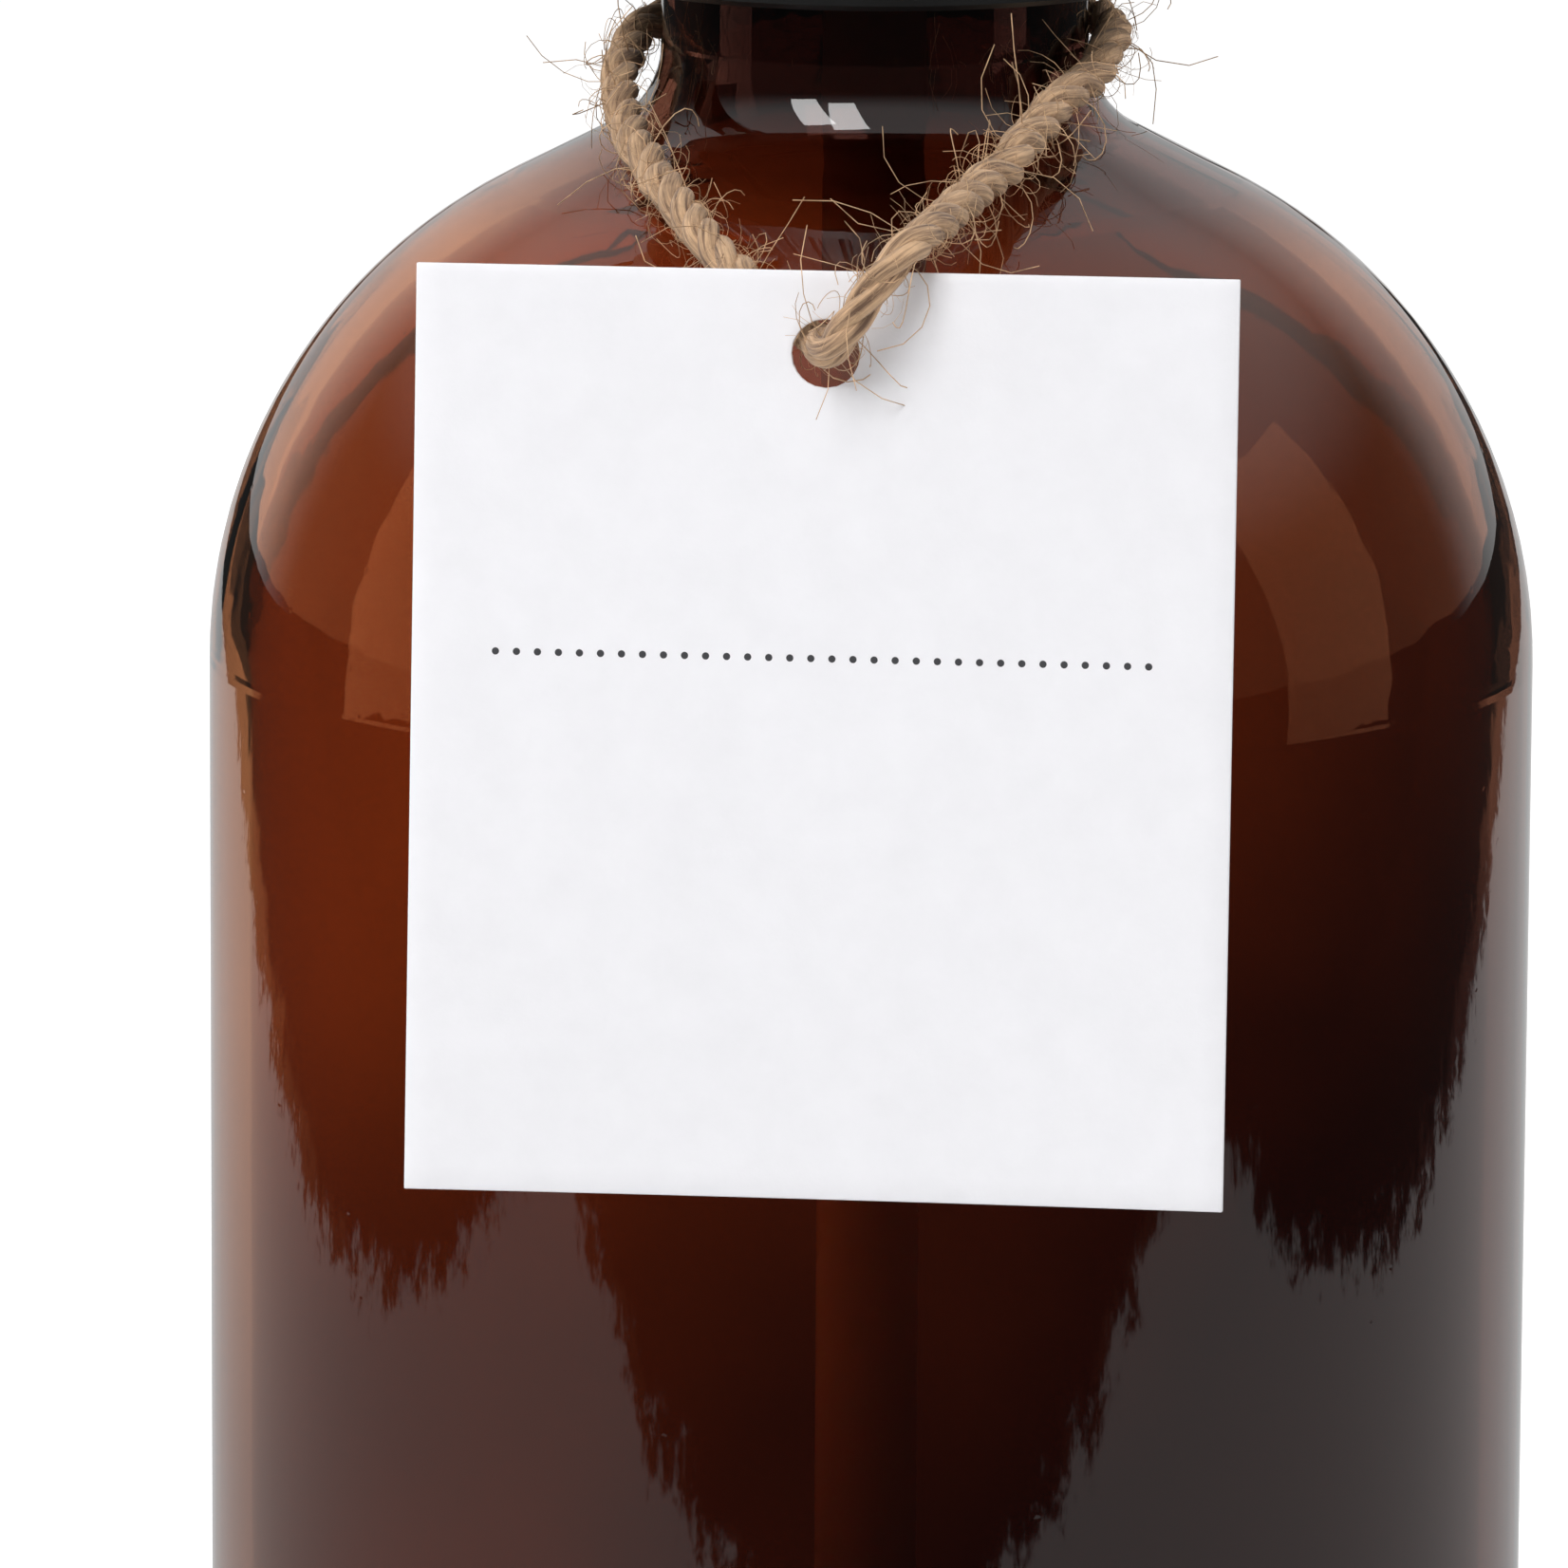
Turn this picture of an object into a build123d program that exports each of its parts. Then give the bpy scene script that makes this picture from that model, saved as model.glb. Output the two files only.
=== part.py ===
from build123d import *
from math import cos, pi, radians, sin, sqrt, tan
import os

os.makedirs("parts", exist_ok=True)

# Trigger spray bottle with a hang tag. Millimetres, +Z up. The origin is the centre of the bottle's
# base, the nozzle points along -X and the tag hangs on the -Y side.

# ---------------------------------------------------------------- driving dimensions
# Glass bottle
body_radius = 38.0
wall = 2.3
base_thickness = 3.2
push_up = 2.5
foot_width = 5.0
heel_radius = 5.0
shoulder_z = 119.4
shoulder_radius = 31.0
shoulder_turn = 63.0
neck_radius = 12.2
neck_fillet = 5.3
finish_length = 15.2
rim_fillet = 0.8

# Neck thread, one start, right-handed
thread_pitch = 4.233
thread_height = 1.25
thread_turns = 1.25
thread_base = 2.4
thread_crest = 1.0
thread_gap = 0.3
thread_bite = 0.3
thread_lead_in = 0.2

# Screw closure
closure_wall = 2.0
closure_drop = 11.5
closure_web = 2.5
closure_bore_gap = 0.3
closure_grooves = 40
groove_radius = 0.55
closure_plain_rim = 2.6
closure_top_chamfer = 0.8
small_chamfer = 0.3

# Neck stack above the glass
gasket_thickness = 1.2
gasket_overhang = 0.9
seat_overhang = 0.8
flange_thickness = 1.7
running_gap = 0.05
shaft_gap = 0.3

# Retainer, dip tube and inlet valve
spigot_length = 4.0
socket_wall = 1.6
socket_depth = 10.0
dip_tube_radius = 2.95
dip_tube_wall = 0.8
dip_tube_foot_gap = 3.0
dip_tube_cut = 35.0
inlet_ball_radius = 2.2
inlet_seat_radius = 1.6
inlet_side_gap = 0.5
inlet_lift = 1.8
inlet_stop_gap = 0.2
inlet_seat_drop = 1.2
inlet_floor = 2.0
vent_radius = 0.6
vent_offset = 1.2
ball_seat_gap = 0.02

# Sprayer body
stem_radius = 9.7
stem_wall = 2.75
deck_thickness = 3.5
deck_gap = 0.5
deck_front = -11.5
deck_back = 15.0
deck_corner = 5.0
pump_lift = 0.5
pump_bore_radius = 6.5
pump_wall = 1.5
pump_front = -27.0
pump_back = -4.0
pump_end_wall = 1.8
spring_guide_radius = 2.0
spring_guide_length = 3.0
port_radius = 1.0
riser_radius = 3.4
riser_bore_radius = 1.4
jet_height = 18.0
jet_radius = 3.8
jet_bore_radius = 1.5
jet_end = -50.5
rib_thickness = 3.0
rib_inset = 2.0
rib_end = 10.0
rib_bite = 1.0
tab_x = 7.0
tab_width = 3.0
tab_height = 14.0
nose_wall = 0.9
nose_reach = 3.7
nose_drop = 3.1
nose_rise = 2.8

# Outlet valve
outlet_ball_radius = 1.9
outlet_side_gap = 0.35
outlet_boss_wall = 1.95
outlet_boss_floor = 2.0
outlet_seat_drop = 6.0
outlet_boss_rise = 5.0
outlet_wire_radius = 0.2
outlet_coils = 5
plug_depth = 2.0
plug_lip = 1.15
plug_head_height = 1.0

# Trigger
trigger_angle = 24.0
pivot_drop = 2.0
lever_arm = 16.0
pivot_radius = 1.5
pivot_depth = 2.0
ear_thickness = 2.0
ear_rim = 1.8
ear_foot_radius = 2.6
ear_foot_ahead = 2.0
ear_foot_drop = 12.4
lever_reach = 44.5
lever_head_drop = 9.5
lever_waist_drop = 26.5
lever_round = 1.2
pusher_height = 5.0
pusher_depth = 3.0
pusher_half_width = 3.0

# Piston
piston_nose_radius = 2.5
piston_nose_out = 9.0
piston_nose_length = 5.0
piston_end_wall = 1.5
piston_wall = 1.1
piston_side_gap = 0.2
piston_back_gap = 2.2
piston_groove_depth = 1.3
piston_groove_width = 2.0
piston_ring_width = 1.0
piston_head_length = 5.0
spring_side_gap = 0.5
spring_bore_gap = 0.2
spring_end_gap = 0.1
spring_wire_radius = 0.4
spring_coils = 9

# Shroud
shroud_wall = 1.6
shroud_side_gap = 0.6
shroud_front = -40.0
shroud_edge = 3.0
shroud_seat_gap = 0.1
shroud_top_rise = 11.5
shroud_chin = 3.0
mouth_lip = 0.9

# Nozzle
nozzle_wall = 3.65
nozzle_corner = 3.5
nozzle_round = 1.0
nozzle_front_wall = 1.8
nozzle_gap = 1.0
nozzle_taper = 3.0
nozzle_boss_radius = 3.2
nozzle_boss_height = 0.6
orifice_radius = 0.4
insert_flange = 1.0
insert_step = 0.4
insert_spigot = 4.0
insert_slots = 3
insert_slot_depth = 0.9
insert_slot_width = 0.6
nozzle_seal_thickness = 0.6
nozzle_seal_margin = 0.6

# Hang tag and twine
tag_width = 45.0
tag_height = 50.8
tag_thickness = 0.5
tag_corner = 0.4
tag_hole_radius = 1.875
tag_hole_drop = 4.5
tag_lean = 5.0
tag_yaw = -6.5
tag_offset = -3.0
tag_standoff = 0.4
tag_rise = 2.1
twine_radius = 1.1
knot_half_width = 3.0
knot_radius = 2.4
knot_end_share = 0.75
tail_radius = 0.99

# ---------------------------------------------------------------- heights, radii and places worked out
cone_slope = radians(90.0 - shoulder_turn)
shoulder_in_x = body_radius - shoulder_radius
cone_foot = (
    shoulder_in_x + shoulder_radius * cos(radians(shoulder_turn)),
    shoulder_z + shoulder_radius * sin(radians(shoulder_turn)),
)
cone_head_x = neck_radius + neck_fillet * (1 - cos(radians(shoulder_turn)))
cone_head_z = cone_foot[1] + (cone_foot[0] - cone_head_x) * tan(cone_slope)
neck_z = cone_head_z + neck_fillet * sin(radians(shoulder_turn))
rim_z = neck_z + finish_length
bore_radius = neck_radius - wall
gasket_inner_radius = bore_radius - gasket_overhang
seat_radius = neck_radius + seat_overhang
spigot_radius = stem_radius - stem_wall - running_gap
closure_z = rim_z - closure_drop
flange_z = rim_z + gasket_thickness + running_gap
stem_z = flange_z + flange_thickness
web_z = stem_z + running_gap
closure_top = web_z + closure_web
closure_bore = neck_radius + thread_height + closure_bore_gap
closure_radius = closure_bore + closure_wall
thread_z = closure_z + thread_pitch / 2 + thread_base / 2 + thread_lead_in
deck_z = closure_top + deck_gap
deck_top = deck_z + deck_thickness
pump_outer_radius = pump_bore_radius + pump_wall
shroud_half_width = pump_outer_radius + shroud_side_gap + shroud_wall
pump_z = deck_top + pump_outer_radius + pump_lift
jet_z = pump_z + jet_height
pivot_z = jet_z - pivot_drop
nose_half_width = jet_radius + nose_wall
ear_inner = nose_half_width + shaft_gap
# The pusher's contact point lies this far ahead of the pivot, so that the piston's travel stays in
# step with the trigger's angle to within a few hundredths of a millimetre.
pusher_lead = lever_arm * radians(trigger_angle) * 2 / 3
piston_travel = lever_arm * radians(trigger_angle)
piston_back = pump_back - spring_guide_length - piston_back_gap - piston_travel
piston_head_x = piston_back - piston_head_length
nose_x = pump_front - piston_nose_out
pivot_x = nose_x + pusher_lead
pusher_x = nose_x - piston_nose_radius - running_gap


def arc_through(centre, radius, start, end):
    """Arc about a centre from one angle to another, in degrees."""
    angles = (start, (start + end) / 2, end)
    points = [(centre[0] + radius * cos(radians(a)), centre[1] + radius * sin(radians(a))) for a in angles]
    ThreePointArc(*points)
    return points[0], points[2]


def bottle_outline(inset, floor_z, top_z):
    """Half outline of the glass, moved inwards by inset, with its ring foot at floor_z."""
    side = body_radius - inset
    heel = heel_radius - inset
    ring = body_radius - heel_radius - foot_width
    dome = (ring**2 + push_up**2) / (2 * push_up)
    half_ring = ring / 2
    ThreePointArc(
        (0, floor_z + push_up),
        (half_ring, floor_z + push_up - dome + sqrt(dome**2 - half_ring**2)),
        (ring, floor_z),
    )
    Line((ring, floor_z), (side - heel, floor_z))
    arc_through((side - heel, floor_z + heel), heel, -90, 0)
    Line((side, floor_z + heel), (side, shoulder_z))
    _, shoulder_end = arc_through((shoulder_in_x, shoulder_z), shoulder_radius - inset, 0, shoulder_turn)
    fillet_centre = (neck_radius + neck_fillet, neck_z)
    neck = neck_fillet + inset
    cone_end = (
        fillet_centre[0] - neck * cos(radians(shoulder_turn)),
        fillet_centre[1] - neck * sin(radians(shoulder_turn)),
    )
    Line(shoulder_end, cone_end)
    arc_through(fillet_centre, neck, 180 + shoulder_turn, 180)
    Line((neck_radius - inset, neck_z), (neck_radius - inset, top_z))
    Line((neck_radius - inset, top_z), (0, top_z))
    Line((0, top_z), (0, floor_z + push_up))


def thread_ridge(helix, root, crest):
    """Trapezium swept along a helix, from the thread's root radius to its crest."""
    start = helix @ 0
    outward = 1 if crest > root else -1
    bite = root - outward * thread_bite - start.X
    tip = crest - start.X
    with BuildSketch(Plane(origin=start, x_dir=(1, 0, 0), z_dir=helix % 0)) as section:
        Polygon(
            (bite, -thread_base / 2),
            (tip, -thread_crest / 2),
            (tip, thread_crest / 2),
            (bite, thread_base / 2),
            align=None,
        )
    sweep(section.sketch, path=helix, is_frenet=True)


def pump_disc(x, length, outer, inner=0):
    """Disc or ring about the pump's axis, from x onwards along +X."""
    with BuildSketch(Plane.YZ.offset(x)) as section:
        with Locations((0, pump_z)):
            Circle(outer)
            if inner:
                Circle(inner, mode=Mode.SUBTRACT)
    extrude(section.sketch, amount=length)


# ---------------------------------------------------------------- bottle
with BuildPart() as bottle:
    with BuildSketch(Plane.XZ):
        with BuildLine():
            bottle_outline(0, 0, rim_z)
        make_face()
    revolve(axis=Axis.Z)
    with BuildLine(mode=Mode.PRIVATE) as bottle_helix:
        Helix(thread_pitch, thread_turns * thread_pitch, neck_radius, center=(0, 0, thread_z))
    thread_ridge(bottle_helix.line, neck_radius, neck_radius + thread_height)
    with BuildSketch(Plane.XZ):
        with BuildLine():
            bottle_outline(wall, base_thickness, rim_z + 1)
        make_face()
    revolve(axis=Axis.Z, mode=Mode.SUBTRACT)
    rim_face = bottle.faces().filter_by(Plane.XY).sort_by(Axis.Z)[-1]
    fillet(rim_face.edges(), rim_fillet)
bottle.part.label = "bottle"
export_step(bottle.part, "parts/bottle.step")

# ---------------------------------------------------------------- closure
with BuildPart() as closure:
    with BuildSketch(Plane.XY.offset(closure_z)):
        Circle(closure_radius)
    extrude(amount=closure_top - closure_z)
    chamfer(closure.edges().group_by(Axis.Z)[-1], closure_top_chamfer)
    chamfer(closure.edges().group_by(Axis.Z)[0], small_chamfer)
    with BuildSketch(Plane.XY.offset(closure_z)):
        Circle(closure_bore)
    extrude(amount=web_z - closure_z, mode=Mode.SUBTRACT)
    with BuildSketch(Plane.XY.offset(web_z)):
        Circle(stem_radius + shaft_gap)
    extrude(amount=closure_web, mode=Mode.SUBTRACT)
    with BuildSketch(Plane.XY.offset(closure_z + closure_plain_rim)):
        with PolarLocations(closure_radius + groove_radius / 3, closure_grooves):
            Circle(groove_radius)
    extrude(amount=closure_top, mode=Mode.SUBTRACT)
    with BuildLine(mode=Mode.PRIVATE) as closure_helix:
        Helix(
            thread_pitch,
            thread_turns * thread_pitch,
            closure_bore,
            center=(0, 0, thread_z - thread_pitch / 2),
        )
    thread_ridge(closure_helix.line, closure_bore, neck_radius + thread_gap)
closure.part.label = "closure"
export_step(closure.part, "parts/closure.step")

# ---------------------------------------------------------------- neck gasket
with BuildPart() as neck_gasket:
    with BuildSketch(Plane.XY.offset(rim_z)):
        Circle(seat_radius)
        Circle(gasket_inner_radius, mode=Mode.SUBTRACT)
    extrude(amount=gasket_thickness)
neck_gasket.part.label = "neck_gasket"
export_step(neck_gasket.part, "parts/neck_gasket.step")

# ---------------------------------------------------------------- tube retainer with the inlet seat
socket_outer_radius = dip_tube_radius + running_gap + socket_wall
inlet_chamber_radius = inlet_ball_radius + inlet_side_gap
inlet_seat_z = flange_z - inlet_seat_drop
socket_top = inlet_seat_z - inlet_floor
spigot_top = stem_z + spigot_length
# the ball stops under the riser's narrower bore
ball_over_seat = sqrt(inlet_ball_radius**2 - inlet_seat_radius**2)
ball_under_stop = sqrt(inlet_ball_radius**2 - riser_bore_radius**2)
stop_z = inlet_seat_z + ball_over_seat + inlet_lift + ball_under_stop + inlet_stop_gap

with BuildPart() as tube_retainer:
    with BuildSketch(Plane.XY.offset(socket_top - socket_depth)):
        Circle(socket_outer_radius)
    extrude(amount=flange_z - socket_top + socket_depth)
    with BuildSketch(Plane.XY.offset(flange_z)):
        Circle(seat_radius)
    extrude(amount=flange_thickness)
    with BuildSketch(Plane.XY.offset(stem_z)):
        Circle(spigot_radius)
    extrude(amount=spigot_length)
    with BuildSketch(Plane.XY.offset(socket_top - socket_depth)):
        Circle(dip_tube_radius + running_gap)
    extrude(amount=socket_depth, mode=Mode.SUBTRACT)
    with BuildSketch(Plane.XY.offset(socket_top)):
        Circle(inlet_seat_radius)
    extrude(amount=inlet_seat_z - socket_top, mode=Mode.SUBTRACT)
    with BuildSketch(Plane.XY.offset(inlet_seat_z)):
        Circle(inlet_chamber_radius)
    extrude(amount=spigot_top - inlet_seat_z, mode=Mode.SUBTRACT)
    with BuildSketch(Plane.XY.offset(flange_z)):
        with Locations((spigot_radius + vent_offset, 0)):
            Circle(vent_radius)
    extrude(amount=flange_thickness, mode=Mode.SUBTRACT)
    chamfer(tube_retainer.edges().group_by(Axis.Z)[0], small_chamfer)
tube_retainer.part.label = "tube_retainer"
export_step(tube_retainer.part, "parts/tube_retainer.step")

# ---------------------------------------------------------------- dip tube, cut at a slant at its foot
dip_tube_top = socket_top - running_gap
dip_tube_foot = base_thickness + push_up + dip_tube_foot_gap
slant = dip_tube_radius * tan(radians(dip_tube_cut))

with BuildPart() as dip_tube:
    with BuildSketch(Plane.XY.offset(dip_tube_foot)):
        Circle(dip_tube_radius)
        Circle(dip_tube_radius - dip_tube_wall, mode=Mode.SUBTRACT)
    extrude(amount=dip_tube_top - dip_tube_foot)
    foot_plane = Plane(
        origin=(0, 0, dip_tube_foot + slant),
        z_dir=(sin(radians(dip_tube_cut)), 0, cos(radians(dip_tube_cut))),
    )
    split(bisect_by=foot_plane, keep=Keep.TOP)
dip_tube.part.label = "dip_tube"
export_step(dip_tube.part, "parts/dip_tube.step")

# ---------------------------------------------------------------- check balls
inlet_ball_z = inlet_seat_z + ball_over_seat + ball_seat_gap
with BuildPart() as inlet_ball:
    with Locations((0, 0, inlet_ball_z)):
        Sphere(inlet_ball_radius)
inlet_ball.part.label = "inlet_ball"
export_step(inlet_ball.part, "parts/inlet_ball.step")

outlet_chamber_radius = outlet_ball_radius + outlet_side_gap
outlet_boss_radius = outlet_chamber_radius + outlet_boss_wall
outlet_seat_z = jet_z - outlet_seat_drop
outlet_ball_z = outlet_seat_z + sqrt(outlet_ball_radius**2 - riser_bore_radius**2) + ball_seat_gap
boss_top = jet_z + outlet_boss_rise
plug_foot = boss_top - plug_depth
with BuildPart() as outlet_ball:
    with Locations((0, 0, outlet_ball_z)):
        Sphere(outlet_ball_radius)
outlet_ball.part.label = "outlet_ball"
export_step(outlet_ball.part, "parts/outlet_ball.step")

# ---------------------------------------------------------------- outlet spring and its plug
outlet_spring_foot = outlet_ball_z + outlet_ball_radius + outlet_wire_radius + ball_seat_gap
outlet_spring_height = plug_foot - outlet_wire_radius - ball_seat_gap - outlet_spring_foot
outlet_spring_radius = outlet_chamber_radius - outlet_side_gap - outlet_wire_radius


def coil_spring(foot, direction, length, coils, radius, wire):
    """Round wire wound along a helix that starts at foot."""
    with BuildLine(mode=Mode.PRIVATE) as coil:
        Helix(length / coils, length, radius, center=foot, direction=direction)
    with BuildSketch(Plane(origin=coil.line @ 0, z_dir=coil.line % 0)) as section:
        Circle(wire)
    sweep(section.sketch, path=coil.line, is_frenet=True)


with BuildPart() as outlet_spring:
    coil_spring(
        (0, 0, outlet_spring_foot),
        (0, 0, 1),
        outlet_spring_height,
        outlet_coils,
        outlet_spring_radius,
        outlet_wire_radius,
    )
outlet_spring.part.label = "outlet_spring"
export_step(outlet_spring.part, "parts/outlet_spring.step")

with BuildPart() as valve_plug:
    with BuildSketch(Plane.XY.offset(plug_foot)):
        Circle(outlet_chamber_radius - running_gap)
    extrude(amount=plug_depth)
    with BuildSketch(Plane.XY.offset(boss_top)):
        Circle(outlet_chamber_radius + plug_lip)
    extrude(amount=plug_head_height)
    chamfer(valve_plug.edges().group_by(Axis.Z)[-1], small_chamfer)
valve_plug.part.label = "valve_plug"
export_step(valve_plug.part, "parts/valve_plug.step")

# ---------------------------------------------------------------- sprayer body
tab_half_width = shroud_half_width - shroud_wall - shroud_seat_gap
nose_front = pivot_x - nose_reach
nose_back = pivot_x + nose_reach
rib_front = pump_front + rib_inset

with BuildPart() as sprayer_body:
    # stem through the closure, with the deck that the shroud stands on
    with BuildSketch(Plane.XY.offset(stem_z)):
        Circle(stem_radius)
    extrude(amount=deck_z - stem_z)
    with BuildSketch(Plane.XY.offset(deck_z)):
        with Locations(((deck_back + deck_front) / 2, 0)):
            RectangleRounded(deck_back - deck_front, 2 * shroud_half_width, deck_corner)
    extrude(amount=deck_thickness)
    # riser and outlet boss
    with BuildSketch(Plane.XY.offset(deck_top)):
        Circle(riser_radius)
    extrude(amount=jet_z - deck_top)
    with BuildSketch(Plane.XY.offset(outlet_seat_z - outlet_boss_floor)):
        Circle(outlet_boss_radius)
    extrude(amount=boss_top - outlet_seat_z + outlet_boss_floor)
    # pump cylinder and discharge tube
    pump_disc(pump_front, pump_back + pump_end_wall - pump_front, pump_outer_radius)
    with BuildSketch(Plane.YZ.offset(jet_end)):
        with Locations((0, jet_z)):
            Circle(jet_radius)
    extrude(amount=-jet_end)
    # ribs, and side tabs that carry the shroud
    with BuildSketch(Plane.XZ):
        Polygon(
            (rib_front, pump_z),
            (rib_end, pump_z),
            (rib_end, jet_z - jet_radius),
            (jet_radius, jet_z),
            (rib_front, jet_z),
            align=None,
        )
        Polygon(
            (deck_front + rib_inset, deck_top - rib_bite),
            (rib_end, deck_top - rib_bite),
            (rib_end, pump_z + rib_bite),
            (deck_front + rib_inset, pump_z + rib_bite),
            align=None,
        )
    extrude(amount=rib_thickness / 2, both=True)
    with BuildSketch(Plane.XZ):
        with Locations((tab_x, pump_z)):
            Rectangle(tab_width, tab_height)
    extrude(amount=tab_half_width, both=True)
    # nose block that holds the trigger's pivot pins
    with BuildSketch(Plane.XZ):
        Polygon(
            (nose_front, pivot_z - nose_drop),
            (nose_back, pivot_z - nose_drop),
            (nose_back, jet_z + nose_rise),
            (nose_front, jet_z + nose_rise),
            align=None,
        )
    extrude(amount=nose_half_width, both=True)
    for side in (1, -1):
        with BuildSketch(Plane.XZ.offset(side * nose_half_width)):
            with Locations((pivot_x, pivot_z)):
                Circle(pivot_radius + running_gap)
        extrude(amount=-side * pivot_depth, mode=Mode.SUBTRACT)
    # bores
    with BuildSketch(Plane.YZ.offset(pump_front)):
        with Locations((0, pump_z)):
            Circle(pump_bore_radius)
    extrude(amount=pump_back - pump_front, mode=Mode.SUBTRACT)
    pump_disc(pump_back - spring_guide_length, spring_guide_length, spring_guide_radius)
    with BuildSketch(Plane.YZ.offset(pump_back - spring_guide_length)):
        with Locations((0, pump_z)):
            Circle(port_radius)
    extrude(amount=spring_guide_length - pump_back, mode=Mode.SUBTRACT)
    with BuildSketch(Plane.XY.offset(stem_z)):
        Circle(spigot_radius + running_gap)
        Circle(inlet_chamber_radius, mode=Mode.SUBTRACT)
    extrude(amount=spigot_length + running_gap, mode=Mode.SUBTRACT)
    with BuildSketch(Plane.XY.offset(stem_z)):
        Circle(inlet_chamber_radius)
    extrude(amount=stop_z - stem_z, mode=Mode.SUBTRACT)
    with BuildSketch(Plane.XY.offset(stop_z)):
        Circle(riser_bore_radius)
    extrude(amount=outlet_seat_z - stop_z, mode=Mode.SUBTRACT)
    with BuildSketch(Plane.XY.offset(outlet_seat_z)):
        Circle(outlet_chamber_radius)
    extrude(amount=boss_top - outlet_seat_z, mode=Mode.SUBTRACT)
    with BuildSketch(Plane.YZ.offset(jet_end)):
        with Locations((0, jet_z)):
            Circle(jet_bore_radius)
    extrude(amount=-jet_end, mode=Mode.SUBTRACT)
sprayer_body.part.label = "sprayer_body"
export_step(sprayer_body.part, "parts/sprayer_body.step")

# ---------------------------------------------------------------- shroud
shroud_foot = deck_top + shroud_seat_gap
shroud_outline = [
    (deck_front, shroud_foot),
    (deck_back, shroud_foot),
    (deck_back - 1.0, shroud_foot + 12.0),
    (deck_back + 2.5, jet_z - 1.0),
    (deck_back - 2.5, jet_z + shroud_top_rise - 1.0),
    (-8.0, jet_z + shroud_top_rise),
    (shroud_front, jet_z + shroud_top_rise - 4.5),
    (shroud_front, jet_z - jet_radius - shroud_chin),
    (pump_front + 1, jet_z - 8.0),
    (deck_front - 2.5, pump_z + 3.5),
]
shroud_radii = [2.5, 2.5, 12.0, 6.0, 8.0, 30.0, 4.0, 3.0, 6.0, 4.0]


def shroud_form(inset):
    """Rounded solid of the shroud's side view, moved inwards by inset."""
    with BuildSketch(Plane.XZ) as side_view:
        with BuildLine():
            FilletPolyline(*shroud_outline, radius=shroud_radii, close=True)
        make_face()
        if inset:
            offset(amount=-inset, mode=Mode.REPLACE)
    extrude(side_view.sketch, amount=shroud_half_width - inset, both=True)
    sides = faces().filter_by(Plane.XZ)
    fillet(sides.edges(), shroud_edge - inset)


slot_step = 3.0
slot_top = jet_z - jet_radius - 2 * shaft_gap
mouth_foot = jet_z - jet_radius - shaft_gap - mouth_lip

with BuildPart() as shroud_cavity:
    shroud_form(shroud_wall)

with BuildPart() as shroud:
    shroud_form(0)
    add(shroud_cavity.part, mode=Mode.SUBTRACT)
    # open underside over the deck, and the slot for the pump and the trigger in front of it
    with BuildSketch(Plane.XZ):
        Polygon(
            (deck_front + slot_step, shroud_foot - 1),
            (deck_back - shroud_wall, shroud_foot - 1),
            (deck_back - shroud_wall, shroud_foot + slot_step),
            (deck_front + slot_step, shroud_foot + slot_step),
            align=None,
        )
        Polygon(
            (shroud_front - 1, pump_z + pump_outer_radius),
            (shroud_front - 1, mouth_foot),
            (shroud_front + shroud_wall, mouth_foot),
            (shroud_front + shroud_wall, slot_top),
            (pump_front + slot_step, slot_top),
            (deck_front + slot_step, pump_z + slot_step),
            (deck_front + slot_step, shroud_foot - 1),
            (deck_front - 2 * slot_step, shroud_foot - 1),
            align=None,
        )
    extrude(amount=shroud_half_width - shroud_wall, both=True, mode=Mode.SUBTRACT)
    # mouth for the discharge tube
    with BuildSketch(Plane.YZ.offset(shroud_front - 1)):
        with Locations((0, jet_z)):
            Circle(jet_radius + shaft_gap)
    extrude(amount=shroud_wall + 2, mode=Mode.SUBTRACT)
shroud.part.label = "shroud"
export_step(shroud.part, "parts/shroud.step")

# ---------------------------------------------------------------- trigger
lever_half_width = ear_inner + ear_thickness
lever_foot_z = pivot_z - lever_reach
lever_head_z = pivot_z - lever_head_drop
lever_waist_z = pivot_z - lever_waist_drop
ear_foot = (pusher_x - ear_foot_ahead, pivot_z - ear_foot_drop)

with BuildPart() as trigger:
    with BuildSketch(Plane.XZ):
        with BuildLine():
            front = ThreePointArc(
                (pusher_x - 5.0, lever_head_z),
                (pusher_x - 5.6, lever_waist_z),
                (pusher_x - 12.2, lever_foot_z + 1.5),
            )
            back = ThreePointArc(
                (pusher_x - 9.3, lever_foot_z),
                (pusher_x - 2.2, lever_waist_z),
                (pusher_x - 1.2, lever_head_z),
            )
            Line(front @ 1, back @ 0)
            Line(back @ 1, front @ 0)
        make_face()
    extrude(amount=lever_half_width, both=True)
    fillet(trigger.edges().filter_by(Axis.Y), lever_round)
    with BuildSketch(Plane.XZ):
        Polygon(
            (pusher_x - pusher_depth, pivot_z - lever_arm - pusher_height / 2),
            (pusher_x, pivot_z - lever_arm - pusher_height / 2),
            (pusher_x, pivot_z - lever_arm + pusher_height / 2),
            (pusher_x - pusher_depth, pivot_z - lever_arm + pusher_height / 2),
            align=None,
        )
    extrude(amount=pusher_half_width, both=True)
    for side in (1, -1):
        with BuildSketch(Plane.XZ.offset(side * ear_inner)):
            with Locations((pivot_x, pivot_z)):
                Circle(pivot_radius + ear_rim)
            with Locations(ear_foot):
                Circle(ear_foot_radius)
            make_hull()
        extrude(amount=side * ear_thickness)
        with BuildSketch(Plane.XZ.offset(side * ear_inner)):
            with Locations((pivot_x, pivot_z)):
                Circle(pivot_radius)
        extrude(amount=-side * pivot_depth)
trigger.part.label = "trigger"
export_step(trigger.part, "parts/trigger.step")

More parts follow.
